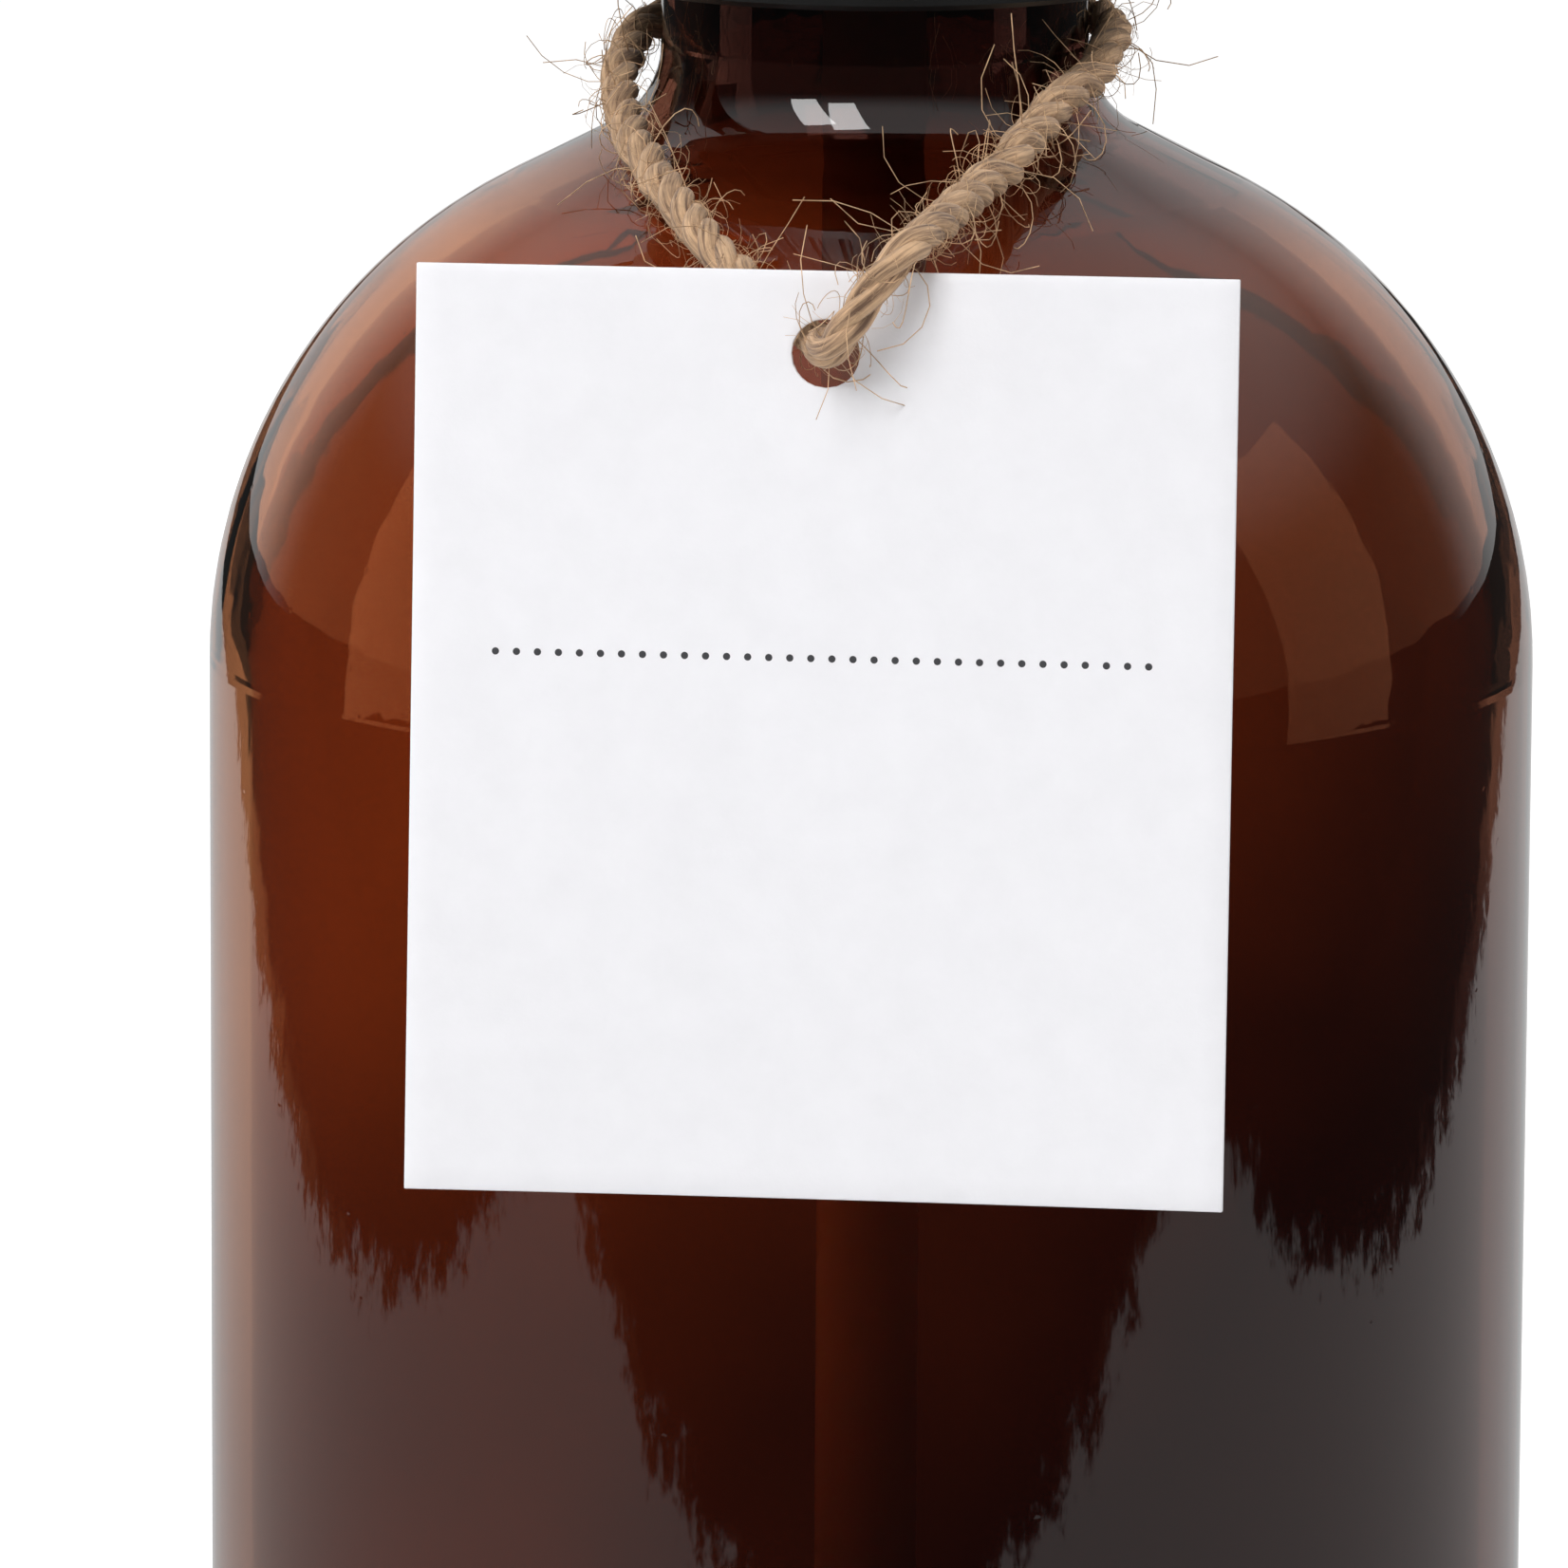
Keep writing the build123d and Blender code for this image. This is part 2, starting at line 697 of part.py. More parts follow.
# ---------------------------------------------------------------- piston, its ring seal and return spring
spring_radius = spring_guide_radius + spring_side_gap + spring_wire_radius
piston_bore_radius = spring_radius + spring_wire_radius + spring_bore_gap
piston_head_radius = pump_bore_radius - piston_side_gap
piston_groove_radius = piston_head_radius - piston_groove_depth
barrel_x = nose_x + piston_nose_length
piston_bore_x = barrel_x + piston_end_wall
piston_groove_x = piston_back - piston_ring_width - piston_groove_width

with BuildPart() as piston:
    with Locations((nose_x, 0, pump_z)):
        Sphere(piston_nose_radius)
    pump_disc(nose_x, barrel_x - nose_x, piston_nose_radius)
    pump_disc(barrel_x, piston_back - barrel_x, piston_bore_radius + piston_wall)
    pump_disc(piston_head_x, piston_head_length, piston_head_radius)
    with BuildSketch(Plane.YZ.offset(piston_groove_x)):
        with Locations((0, pump_z)):
            Circle(piston_head_radius)
            Circle(piston_groove_radius, mode=Mode.SUBTRACT)
    extrude(amount=piston_groove_width, mode=Mode.SUBTRACT)
    with BuildSketch(Plane.YZ.offset(piston_bore_x)):
        with Locations((0, pump_z)):
            Circle(piston_bore_radius)
    extrude(amount=piston_back - piston_bore_x, mode=Mode.SUBTRACT)
piston.part.label = "piston"
export_step(piston.part, "parts/piston.step")

with BuildPart() as piston_seal:
    pump_disc(
        piston_groove_x + running_gap,
        piston_groove_width - 2 * running_gap,
        pump_bore_radius - running_gap,
        piston_groove_radius + running_gap,
    )
    seal_edges = piston_seal.edges().filter_by(GeomType.CIRCLE).sort_by(SortBy.RADIUS)[-2:]
    chamfer(seal_edges, small_chamfer)
piston_seal.part.label = "piston_seal"
export_step(piston_seal.part, "parts/piston_seal.step")

spring_front = piston_bore_x + spring_wire_radius + spring_end_gap
spring_end = pump_back - spring_wire_radius - spring_end_gap
with BuildPart() as return_spring:
    coil_spring(
        (spring_front, 0, pump_z),
        (1, 0, 0),
        spring_end - spring_front,
        spring_coils,
        spring_radius,
        spring_wire_radius,
    )
return_spring.part.label = "return_spring"
export_step(return_spring.part, "parts/return_spring.step")

# ---------------------------------------------------------------- nozzle, swirl insert and nozzle seal
nozzle_back = shroud_front - nozzle_gap
seal_x = jet_end - insert_flange - nozzle_seal_thickness
nozzle_inner_x = seal_x - running_gap
nozzle_front = nozzle_inner_x - nozzle_front_wall
nozzle_bore = jet_radius + running_gap
nozzle_width = 2 * (nozzle_bore + nozzle_wall)

with BuildPart() as nozzle:
    with BuildSketch(Plane.YZ.offset(nozzle_back)):
        with Locations((0, jet_z)):
            RectangleRounded(nozzle_width, nozzle_width, nozzle_corner)
    extrude(amount=nozzle_front - nozzle_back, taper=nozzle_taper)
    fillet(nozzle.faces().sort_by(Axis.X)[0].edges(), nozzle_round)
    with BuildSketch(Plane.YZ.offset(nozzle_front)):
        with Locations((0, jet_z)):
            Circle(nozzle_boss_radius)
    extrude(amount=-nozzle_boss_height)
    with BuildSketch(Plane.YZ.offset(nozzle_back)):
        with Locations((0, jet_z)):
            Circle(nozzle_bore)
    extrude(amount=nozzle_inner_x - nozzle_back, mode=Mode.SUBTRACT)
    with BuildSketch(Plane.YZ.offset(nozzle_inner_x)):
        with Locations((0, jet_z)):
            Circle(orifice_radius)
    extrude(amount=nozzle_front - nozzle_boss_height - nozzle_inner_x, mode=Mode.SUBTRACT)
nozzle.part.label = "nozzle"
export_step(nozzle.part, "parts/nozzle.step")

with BuildPart() as swirl_insert:
    with BuildSketch(Plane.YZ.offset(jet_end - insert_flange)):
        with Locations((0, jet_z)):
            Circle(jet_radius - insert_step)
    extrude(amount=insert_flange)
    with BuildSketch(Plane.YZ.offset(jet_end)):
        with Locations((0, jet_z)):
            Circle(jet_bore_radius - running_gap)
    extrude(amount=insert_spigot)
    with BuildSketch(Plane.YZ.offset(jet_end - insert_flange)):
        with Locations((0, jet_z)):
            with PolarLocations(jet_bore_radius, insert_slots):
                Rectangle(insert_slot_depth, insert_slot_width)
    extrude(amount=insert_flange + insert_spigot, mode=Mode.SUBTRACT)
swirl_insert.part.label = "swirl_insert"
export_step(swirl_insert.part, "parts/swirl_insert.step")

with BuildPart() as nozzle_seal:
    with BuildSketch(Plane.YZ.offset(seal_x)):
        with Locations((0, jet_z)):
            Circle(jet_radius - running_gap)
            Circle(orifice_radius + nozzle_seal_margin, mode=Mode.SUBTRACT)
    extrude(amount=nozzle_seal_thickness - running_gap)
nozzle_seal.part.label = "nozzle_seal"
export_step(nozzle_seal.part, "parts/nozzle_seal.step")

# ---------------------------------------------------------------- hang tag, leaning back on the shoulder
tag_centre = Vector(tag_offset, -body_radius - tag_standoff, shoulder_z + tag_rise)
tag_across = Vector(cos(radians(tag_yaw)), sin(radians(tag_yaw)), 0)
tag_up = Vector(
    -sin(radians(tag_yaw)) * sin(radians(tag_lean)),
    cos(radians(tag_yaw)) * sin(radians(tag_lean)),
    cos(radians(tag_lean)),
)
tag_plane = Plane(origin=tag_centre, x_dir=tag_across, z_dir=tag_across.cross(tag_up))
hole_height = tag_height / 2 - tag_hole_drop

with BuildPart() as hang_tag:
    with BuildSketch(tag_plane.offset(-tag_thickness / 2)):
        RectangleRounded(tag_width, tag_height, tag_corner)
        with Locations((0, hole_height)):
            Circle(tag_hole_radius, mode=Mode.SUBTRACT)
    extrude(amount=tag_thickness)
hang_tag.part.label = "hang_tag"
export_step(hang_tag.part, "parts/hang_tag.step")

# ---------------------------------------------------------------- twine: round the neck and through the tag
twine_route = [
    (-3.0, 13.9, 156.0),
    (-8.7, 11.5, 156.0),
    (-13.1, 6.2, 155.3),
    (-14.8, -0.6, 153.5),
    (-14.3, -7.8, 151.4),
    (-12.9, -14.8, 149.8),
    (-11.0, -21.6, 148.3),
    (-9.0, -28.2, 146.9),
    (-6.2, -33.0, 144.9),
    (-3.2, -34.2, 142.7),
    (-2.7, -39.1, 142.8),
    (-0.2, -39.3, 146.2),
    (1.9, -38.5, 148.8),
    (3.8, -31.4, 149.2),
    (6.2, -23.6, 150.2),
    (8.8, -15.8, 151.8),
    (11.6, -8.8, 153.5),
    (13.6, -2.2, 155.0),
    (13.4, 4.7, 155.9),
    (9.2, 10.8, 156.2),
    (3.0, 13.9, 156.0),
]


def cord_radii(points):
    """Arc radius at each inner point: 0.45 of the shorter run over the tangent of half the turn."""
    runs = [Vector(*b) - Vector(*a) for a, b in zip(points, points[1:])]
    radii = []
    for run, after in zip(runs, runs[1:]):
        half_turn = radians(run.get_angle(after)) / 2
        radii.append(0.45 * min(run.length, after.length) / tan(half_turn))
    return radii


twine_radii = cord_radii(twine_route)
print("twine radii", [round(r, 1) for r in twine_radii])

with BuildPart() as twine:
    with BuildLine(mode=Mode.PRIVATE) as twine_path:
        FilletPolyline(*twine_route, radius=twine_radii)
    with BuildSketch(Plane(origin=twine_path.line @ 0, z_dir=twine_path.line % 0)):
        Circle(twine_radius)
    sweep(path=twine_path.line)
twine_length = sum(edge.length for edge in twine_path.edges())
print("twine length", round(twine_length, 1), "volume", round(twine.part.volume, 1))
print("section times length", round(pi * twine_radius**2 * twine_length, 1))
twine.part.label = "twine"
export_step(twine.part, "parts/twine.step")

# ---------------------------------------------------------------- knot behind the neck, with two tails
knot_centre = Vector(0, 14.6, 155.6)
tail_route = [
    (0.0, 0.6, -0.8),
    (1.3, 3.4, -1.7),
    (2.6, 6.2, -4.0),
    (3.4, 9.4, -6.6),
    (3.8, 12.6, -8.4),
]
with BuildPart() as twine_knot:
    with BuildSketch(Plane.YZ.offset(-knot_half_width)):
        with Locations((knot_centre.Y, knot_centre.Z)):
            Circle(knot_radius * knot_end_share)
    with BuildSketch(Plane.YZ):
        with Locations((knot_centre.Y, knot_centre.Z)):
            Circle(knot_radius)
    with BuildSketch(Plane.YZ.offset(knot_half_width)):
        with Locations((knot_centre.Y, knot_centre.Z)):
            Circle(knot_radius * knot_end_share)
    loft()
    for side in (1, -1):
        tail = [(side * x, knot_centre.Y + y, knot_centre.Z + z) for x, y, z in tail_route]
        with BuildLine(mode=Mode.PRIVATE) as tail_path:
            FilletPolyline(*tail, radius=cord_radii(tail))
        with BuildSketch(Plane(origin=tail_path.line @ 0, z_dir=tail_path.line % 0)):
            Circle(tail_radius)
        sweep(path=tail_path.line)
twine_knot.part.label = "twine_knot"
export_step(twine_knot.part, "parts/twine_knot.step")
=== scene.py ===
from math import cos, radians, sin, tau

import bmesh
import bpy
from bpy.props import (
    FloatProperty,
    FloatVectorProperty,
    IntProperty,
    PointerProperty,
)
from mathutils import Matrix, Vector


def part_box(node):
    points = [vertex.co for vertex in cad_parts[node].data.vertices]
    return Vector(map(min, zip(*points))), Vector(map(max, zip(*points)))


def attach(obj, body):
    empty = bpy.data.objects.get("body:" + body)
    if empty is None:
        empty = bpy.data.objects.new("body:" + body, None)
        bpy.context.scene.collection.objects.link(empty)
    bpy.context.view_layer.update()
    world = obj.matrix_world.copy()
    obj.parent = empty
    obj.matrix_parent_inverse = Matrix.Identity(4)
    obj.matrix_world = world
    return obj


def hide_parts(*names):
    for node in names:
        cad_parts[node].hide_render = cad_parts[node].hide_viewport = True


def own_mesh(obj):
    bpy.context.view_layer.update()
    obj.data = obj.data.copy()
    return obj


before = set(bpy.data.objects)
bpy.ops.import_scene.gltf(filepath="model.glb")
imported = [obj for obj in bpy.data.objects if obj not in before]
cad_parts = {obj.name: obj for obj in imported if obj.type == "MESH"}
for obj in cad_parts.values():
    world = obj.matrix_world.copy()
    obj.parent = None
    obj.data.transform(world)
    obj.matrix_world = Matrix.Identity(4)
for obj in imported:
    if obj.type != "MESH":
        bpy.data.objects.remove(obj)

bl_info = {
    "name": "Spray bottle with a hang tag",
    "version": (1, 0, 0),
    "blender": (4, 5, 0),
    "location": "3D View > Sidebar > Spray bottle",
    "description": "Amber glass spray bottle, black trigger sprayer and a card tag on jute twine",
    "category": "Object",
}

MM = 0.001


# ---------------------------------------------------------------- places taken from the frame
def middle(node):
    """Centre of a CAD node's box, in metres."""
    low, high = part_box(node)
    return (low + high) / 2


TAG_LEAN = radians(5.0)
TAG_YAW = radians(-6.5)
TAG_CENTRE = middle("hang_tag")
TAG_ACROSS = Vector((cos(TAG_YAW), sin(TAG_YAW), 0))
TAG_UP = Vector((-sin(TAG_YAW) * sin(TAG_LEAN), cos(TAG_YAW) * sin(TAG_LEAN), cos(TAG_LEAN)))
TAG_OUT = TAG_ACROSS.cross(TAG_UP)

TWINE_ROUTE_MM = [
    (-3.0, 13.9, 156.0),
    (-8.7, 11.5, 156.0),
    (-13.1, 6.2, 155.3),
    (-14.8, -0.6, 153.5),
    (-14.3, -7.8, 151.4),
    (-12.9, -14.8, 149.8),
    (-11.0, -21.6, 148.3),
    (-9.0, -28.2, 146.9),
    (-6.2, -33.0, 144.9),
    (-3.2, -34.2, 142.7),
    (-2.7, -39.1, 142.8),
    (-0.2, -39.3, 146.2),
    (1.9, -38.5, 148.8),
    (3.8, -31.4, 149.2),
    (6.2, -23.6, 150.2),
    (8.8, -15.8, 151.8),
    (11.6, -8.8, 153.5),
    (13.6, -2.2, 155.0),
    (13.4, 4.7, 155.9),
    (9.2, 10.8, 156.2),
    (3.0, 13.9, 156.0),
]
KNOT_CORE_MM = [
    (-3.0, 13.9, 156.0),
    (-1.2, 14.9, 156.2),
    (0.8, 15.3, 155.6),
    (2.0, 16.4, 154.4),
    (2.7, 18.4, 152.9),
    (3.2, 21.0, 151.2),
    (3.6, 24.0, 149.2),
    (3.8, 27.2, 147.2),
]
KNOT_WRAP_MM = [
    (3.0, 13.9, 156.0),
    (1.9, 14.7, 157.4),
    (1.0, 16.6, 157.4),
    (0.6, 17.5, 155.6),
    (0.4, 16.4, 153.7),
    (0.0, 14.4, 153.8),
    (-0.5, 13.9, 155.7),
    (-0.9, 15.2, 157.3),
    (-1.3, 17.2, 156.6),
    (-1.8, 17.7, 154.8),
    (-2.4, 19.0, 153.0),
    (-3.1, 21.4, 151.2),
    (-3.6, 24.2, 149.2),
    (-3.8, 27.2, 147.2),
]


# ---------------------------------------------------------------- settings shown in the sidebar
class CameraSettings(bpy.types.PropertyGroup):
    """Where the picture is taken from."""
    lens: FloatProperty(name="Focal length", description="Lens in millimetres", default=292.9)
    distance: FloatProperty(
        name="Distance", description="From the lens to its target", default=0.735, unit="LENGTH"
    )
    pitch: FloatProperty(
        name="Pitch", description="How far the camera looks down", default=radians(10.35), subtype="ANGLE"
    )
    roll: FloatProperty(
        name="Roll", description="Turn about the line of sight", default=radians(0.3), subtype="ANGLE"
    )
    target: FloatVectorProperty(
        name="Target",
        description="Point that the camera looks at",
        default=(-0.00496, 0.0, 0.11184),
        subtype="TRANSLATION",
    )


class TwineSettings(bpy.types.PropertyGroup):
    """Sizes and colours of the jute twine."""
    cord_radius: FloatProperty(
        name="Twine radius", description="Outer radius of the laid twine", default=1.1 * MM, unit="LENGTH"
    )
    lay_length: FloatProperty(
        name="Lay length", description="Length of one full twist of the plies",
        default=7.5 * MM, unit="LENGTH"
    )
    fibre_count: IntProperty(name="Stray fibres", description="Hairs along the loop", default=620, min=0)
    fibre_radius: FloatProperty(
        name="Fibre radius", description="Radius of one hair", default=0.026 * MM, unit="LENGTH"
    )
    light: FloatVectorProperty(
        name="Light jute", description="Colour of the dry outer fibres",
        default=(0.72, 0.465, 0.27), subtype="COLOR"
    )
    # painted shade: the colour laid in the hollows between the fibres
    dark: FloatVectorProperty(
        name="Dark jute", description="Colour between the fibres",
        default=(0.13, 0.07, 0.04), subtype="COLOR"
    )


class TagSettings(bpy.types.PropertyGroup):
    """Sizes and colours of the card tag."""
    width: FloatProperty(name="Width", description="Width of the card", default=45.0 * MM, unit="LENGTH")
    height: FloatProperty(
        name="Height", description="Height of the card", default=50.8 * MM, unit="LENGTH"
    )
    thickness: FloatProperty(
        name="Thickness", description="Card thickness", default=0.45 * MM, unit="LENGTH"
    )
    hole_radius: FloatProperty(
        name="Hole", description="Radius of the hole", default=1.875 * MM, unit="LENGTH"
    )
    hole_drop: FloatProperty(
        name="Hole drop", description="From the top edge to the hole", default=4.5 * MM, unit="LENGTH"
    )
    curl: FloatProperty(
        name="Curl", description="How far the lower corners bow outwards",
        default=0.35 * MM, unit="LENGTH"
    )
    card: FloatVectorProperty(
        name="Card", description="Colour of the card", default=(0.875, 0.87, 0.90), subtype="COLOR"
    )
    ink: FloatVectorProperty(
        name="Ink", description="Colour of the dotted rule", default=(0.05, 0.05, 0.055), subtype="COLOR"
    )
    rule_height: FloatProperty(
        name="Rule height", description="Height of the dotted rule, as a share of the card", default=0.584
    )
    rule_inset: FloatProperty(
        name="Rule inset", description="Margin at each end, as a share of the card", default=0.095
    )
    dot_pitch: FloatProperty(
        name="Dot pitch", description="From one dot to the next", default=1.155 * MM, unit="LENGTH"
    )
    dot_radius: FloatProperty(
        name="Dot radius", description="Radius of a dot", default=0.2 * MM, unit="LENGTH"
    )


class GlassSettings(bpy.types.PropertyGroup):
    """Colour and finish of the bottle."""
    tint: FloatVectorProperty(
        name="Tint", description="Colour that one wall lets through",
        default=(0.50, 0.18, 0.07), subtype="COLOR"
    )
    # painted shade: the darker tint blended into the glass where it is made to look shaded
    painted_shade_tint: FloatVectorProperty(
        name="Painted shade tint", description="Colour painted where the glass is shaded",
        default=(0.105, 0.037, 0.028), subtype="COLOR"
    )
    roughness: FloatProperty(
        name="Roughness", description="Surface roughness", default=0.015, min=0, max=1
    )


class PlasticSettings(bpy.types.PropertyGroup):
    """Colour and finish of the sprayer's mouldings."""
    black: FloatVectorProperty(
        name="Black", description="Colour of the closure, shroud and body", default=(0.008, 0.008, 0.008),
        subtype="COLOR",
    )
    natural: FloatVectorProperty(
        name="Natural", description="Colour of the uncoloured mouldings",
        default=(0.78, 0.78, 0.74), subtype="COLOR"
    )


class StageSettings(bpy.types.PropertyGroup):
    """Floor and lights."""
    key: FloatProperty(name="Key", description="Power of the two front softboxes, in watts", default=2.9)
    side: FloatProperty(name="Side", description="Power of the side softboxes, in watts", default=1.6)
    world: FloatProperty(name="World", description="Strength of the room's light", default=0.36)
    table_front: FloatProperty(
        name="Table front", description="Front edge of the pale table in reflections",
        default=-0.31, unit="LENGTH"
    )
    table_left: FloatProperty(
        name="Table left", description="Left edge of the pale table in reflections",
        default=-0.42, unit="LENGTH"
    )
    table_right: FloatProperty(
        name="Table right", description="Right edge of the pale table in reflections",
        default=0.43, unit="LENGTH"
    )
    table_glow: FloatProperty(
        name="Table glow", description="Brightness of the table in reflections", default=0.6, min=0
    )
    ceiling_glow: FloatProperty(
        name="Ceiling glow", description="Brightness of the ceiling in reflections", default=0.8, min=0
    )


# ---------------------------------------------------------------- node helpers
def add_node(tree, kind, **values):
    """A node of that kind, with properties set by name."""
    node = tree.nodes.new(kind)
    for name, value in values.items():
        setattr(node, name, value)
    return node


def feed(tree, value, socket):
    """Links a socket's value, or sets a plain one."""
    if isinstance(value, bpy.types.NodeSocket):
        tree.links.new(value, socket)
    else:
        socket.default_value = value


def set_inputs(node, **values):
    """Sets a node's inputs by name, with _ for a space."""
    for name, value in values.items():
        feed(node.id_data, value, node.inputs[name.replace("_", " ")])


def math_node(tree, operation, first, second=None, clamp=False):
    """A Math node fed with sockets or numbers, and its output."""
    node = add_node(tree, "ShaderNodeMath", operation=operation, use_clamp=clamp)
    for socket, value in zip(node.inputs, (first, second)):
        if value is not None:
            feed(tree, value, socket)
    return node.outputs[0]


def vector_math(tree, operation, first, second=None, scale=None):
    """A Vector Math node fed with sockets or vectors, and its output."""
    node = add_node(tree, "ShaderNodeVectorMath", operation=operation)
    feed(tree, first, node.inputs[0])
    if second is not None:
        feed(tree, second, node.inputs[1])
    if scale is not None:
        feed(tree, scale, node.inputs["Scale"])
    return node.outputs["Vector"]


def split_xyz(tree, vector):
    """The three parts of a vector, by name."""
    node = add_node(tree, "ShaderNodeSeparateXYZ")
    set_inputs(node, Vector=vector)
    return node.outputs


def wired(tree, kind, output, **values):
    """A node with its inputs fed by name, and one of its outputs."""
    node = add_node(tree, kind)
    set_inputs(node, **values)
    return node.outputs[output]


def object_place(tree):
    """The place on the piece, in its own coordinates."""
    return add_node(tree, "ShaderNodeTexCoord").outputs["Object"]


def texture(tree, kind, output, vector, **values):
    """A texture of that kind over a vector, and one of its outputs."""
    return wired(tree, "ShaderNodeTex" + kind, output, Vector=vector, **values)


def spread(tree, value, low, high, to_low=0.0, to_high=1.0, step="LINEAR"):
    """Maps a value from one range to another."""
    node = add_node(tree, "ShaderNodeMapRange", interpolation_type=step)
    set_inputs(node, Value=value, From_Min=low, From_Max=high, To_Min=to_low, To_Max=to_high)
    return node.outputs["Result"]


def ramp(tree, value, low, high, to_low=0.0, to_high=1.0):
    """A smooth step of a value between two levels."""
    return spread(tree, value, low, high, to_low, to_high, "SMOOTHSTEP")


def blend(tree, factor, first, second):
    """A mix of two colours."""
    node = add_node(tree, "ShaderNodeMix", data_type="RGBA")
    set_inputs(node, Factor=factor, A=first, B=second)
    return node.outputs["Result"]


def choose(tree, mask, base, other):
    """One shader where the mask is 0 and another where it is 1."""
    node = add_node(tree, "ShaderNodeMixShader")
    for socket, value in zip(node.inputs, (mask, base, other)):
        tree.links.new(value, socket)
    return node.outputs["Shader"]


def colour(rgb, share=1.0):
    """An RGBA tuple from three numbers, each times a share."""
    return (*(part * share for part in rgb), 1.0)


def new_material(name):
    """A material, its tree and its Principled shader."""
    material = bpy.data.materials.new(name)
    material.use_nodes = True
    return material, material.node_tree, material.node_tree.nodes["Principled BSDF"]


def link_bump(tree, shader, height, strength, distance):
    """Feeds a height into the shader's normal."""
    bump = add_node(tree, "ShaderNodeBump")
    set_inputs(bump, Strength=strength, Distance=distance, Height=height)
    tree.links.new(bump.outputs["Normal"], shader.inputs["Normal"])


# ---------------------------------------------------------------- shared shader groups
def shader_group(name, inputs, outputs):
    """An empty shader group with named inputs and outputs, and its two end nodes."""
    group = bpy.data.node_groups.new(name, "ShaderNodeTree")
    for label, kind, value in inputs:
        socket = group.interface.new_socket(label, in_out="INPUT", socket_type="NodeSocket" + kind)
        socket.default_value = value
    for label, kind in outputs:
        group.interface.new_socket(label, in_out="OUTPUT", socket_type="NodeSocket" + kind)
    return group, add_node(group, "NodeGroupInput").outputs, add_node(group, "NodeGroupOutput")


def moulded_grain_group():
    """Fine moulded grain: a height, and a roughness that drifts a little over the surface."""
    group, given, end = shader_group(
        "moulded_grain",
        [("Scale", "Float", 4000.0), ("Roughness Low", "Float", 0.35), ("Roughness High", "Float", 0.5)],
        [("Height", "Float"), ("Roughness", "Float")],
    )
    place = object_place(group)
    grain = texture(group, "Noise", "Fac", place, Scale=given["Scale"], Detail=3.0, Roughness=0.6)
    drift = texture(group, "Noise", "Fac", place, Scale=140.0, Detail=4.0)
    level = spread(group, drift, 0.35, 0.65, given["Roughness Low"], given["Roughness High"])
    set_inputs(end, Height=grain, Roughness=level)
    return group


def drifting_tone_group():
    """Two tones that drift into each other over the surface."""
    grey = (0.5, 0.5, 0.5, 1.0)
    group, given, end = shader_group(
        "drifting_tone",
        [("First", "Color", grey), ("Second", "Color", grey), ("Scale", "Float", 60.0)],
        [("Color", "Color")],
    )
    drift = texture(
        group, "Noise", "Fac", object_place(group), Scale=given["Scale"], Detail=5.0, Roughness=0.55
    )
    level = spread(group, drift, 0.3, 0.7)
    set_inputs(end, Color=blend(group, level, given["First"], given["Second"]))
    return group


def use_group(tree, name, **values):
    """Places a shared group in a material with its values, and gives its outputs."""
    builders = {"moulded_grain": moulded_grain_group, "drifting_tone": drifting_tone_group}
    group = bpy.data.node_groups.get(name) or builders[name]()
    node = add_node(tree, "ShaderNodeGroup", node_tree=group)
    set_inputs(node, **values)
    return node.outputs


# ---------------------------------------------------------------- materials
def amber_glass(settings):
    """Clear amber glass, faintly wavy, with tiny seeds.

    The tint is darkened with painted shade down the body, in the neck and towards +X, and a soft cloud
    varies it. The shading was chosen by sampled colours to match the photo's view; real glass is tinted
    evenly.
    """
    material, tree, shader = new_material("amber_glass")
    set_inputs(shader, Roughness=settings.roughness, IOR=1.5, Transmission_Weight=1.0)
    place = object_place(tree)
    split = split_xyz(tree, place)
    # painted shade: the tint is blended towards the shade tint low on the body, in the neck and towards +X,
    # varied by a soft cloud
    cloud = texture(tree, "Noise", "Fac", place, Scale=22.0, Detail=3.0, Roughness=0.5)
    sway = math_node(tree, "MULTIPLY", math_node(tree, "SUBTRACT", cloud, 0.5), 1.1)
    lean = math_node(tree, "MULTIPLY", split["X"], 14.0)
    neck = ramp(tree, split["Z"], 142 * MM, 151 * MM, 0.0, 0.9)
    extra_painted_shade = math_node(tree, "ADD", math_node(tree, "ADD", sway, lean), neck)
    height = ramp(tree, split["Z"], 66 * MM, 126 * MM, 1.0, 0.12)
    # painted shade: the share of the shade tint at each place on the bottle
    depth = math_node(tree, "ADD", height, extra_painted_shade, clamp=True)
    tint = blend(tree, depth, colour(settings.tint), colour(settings.painted_shade_tint))
    tree.links.new(tint, shader.inputs["Base Color"])
    wave = texture(tree, "Noise", "Fac", place, Scale=90.0, Detail=2.0)
    seeds = texture(tree, "Voronoi", "Distance", place, Scale=420.0, Randomness=1.0)
    pits = spread(tree, seeds, 0.0, 0.09, -0.25, 0.0)
    link_bump(tree, shader, math_node(tree, "ADD", wave, pits), 0.2, 0.05 * MM)
    return material


def moulded(material_parts, tones, grain_values, strength, depth):
    """Gives a material a drifting tone and a moulded grain."""
    material, tree, shader = material_parts
    tone = use_group(tree, "drifting_tone", First=tones[0], Second=tones[1])
    grain = use_group(tree, "moulded_grain", **grain_values)
    set_inputs(shader, Base_Color=tone["Color"], Roughness=grain["Roughness"])
    link_bump(tree, shader, grain["Height"], strength, depth)
    return material


def black_moulding(settings, name, grain_scale, low, high):
    """Black polypropylene with a fine spark-eroded grain."""
    return moulded(
        new_material(name), (colour(settings.black), colour(settings.black, 1.5)),
        {"Scale": grain_scale, "Roughness_Low": low, "Roughness_High": high}, 0.35, 0.03 * MM,
    )


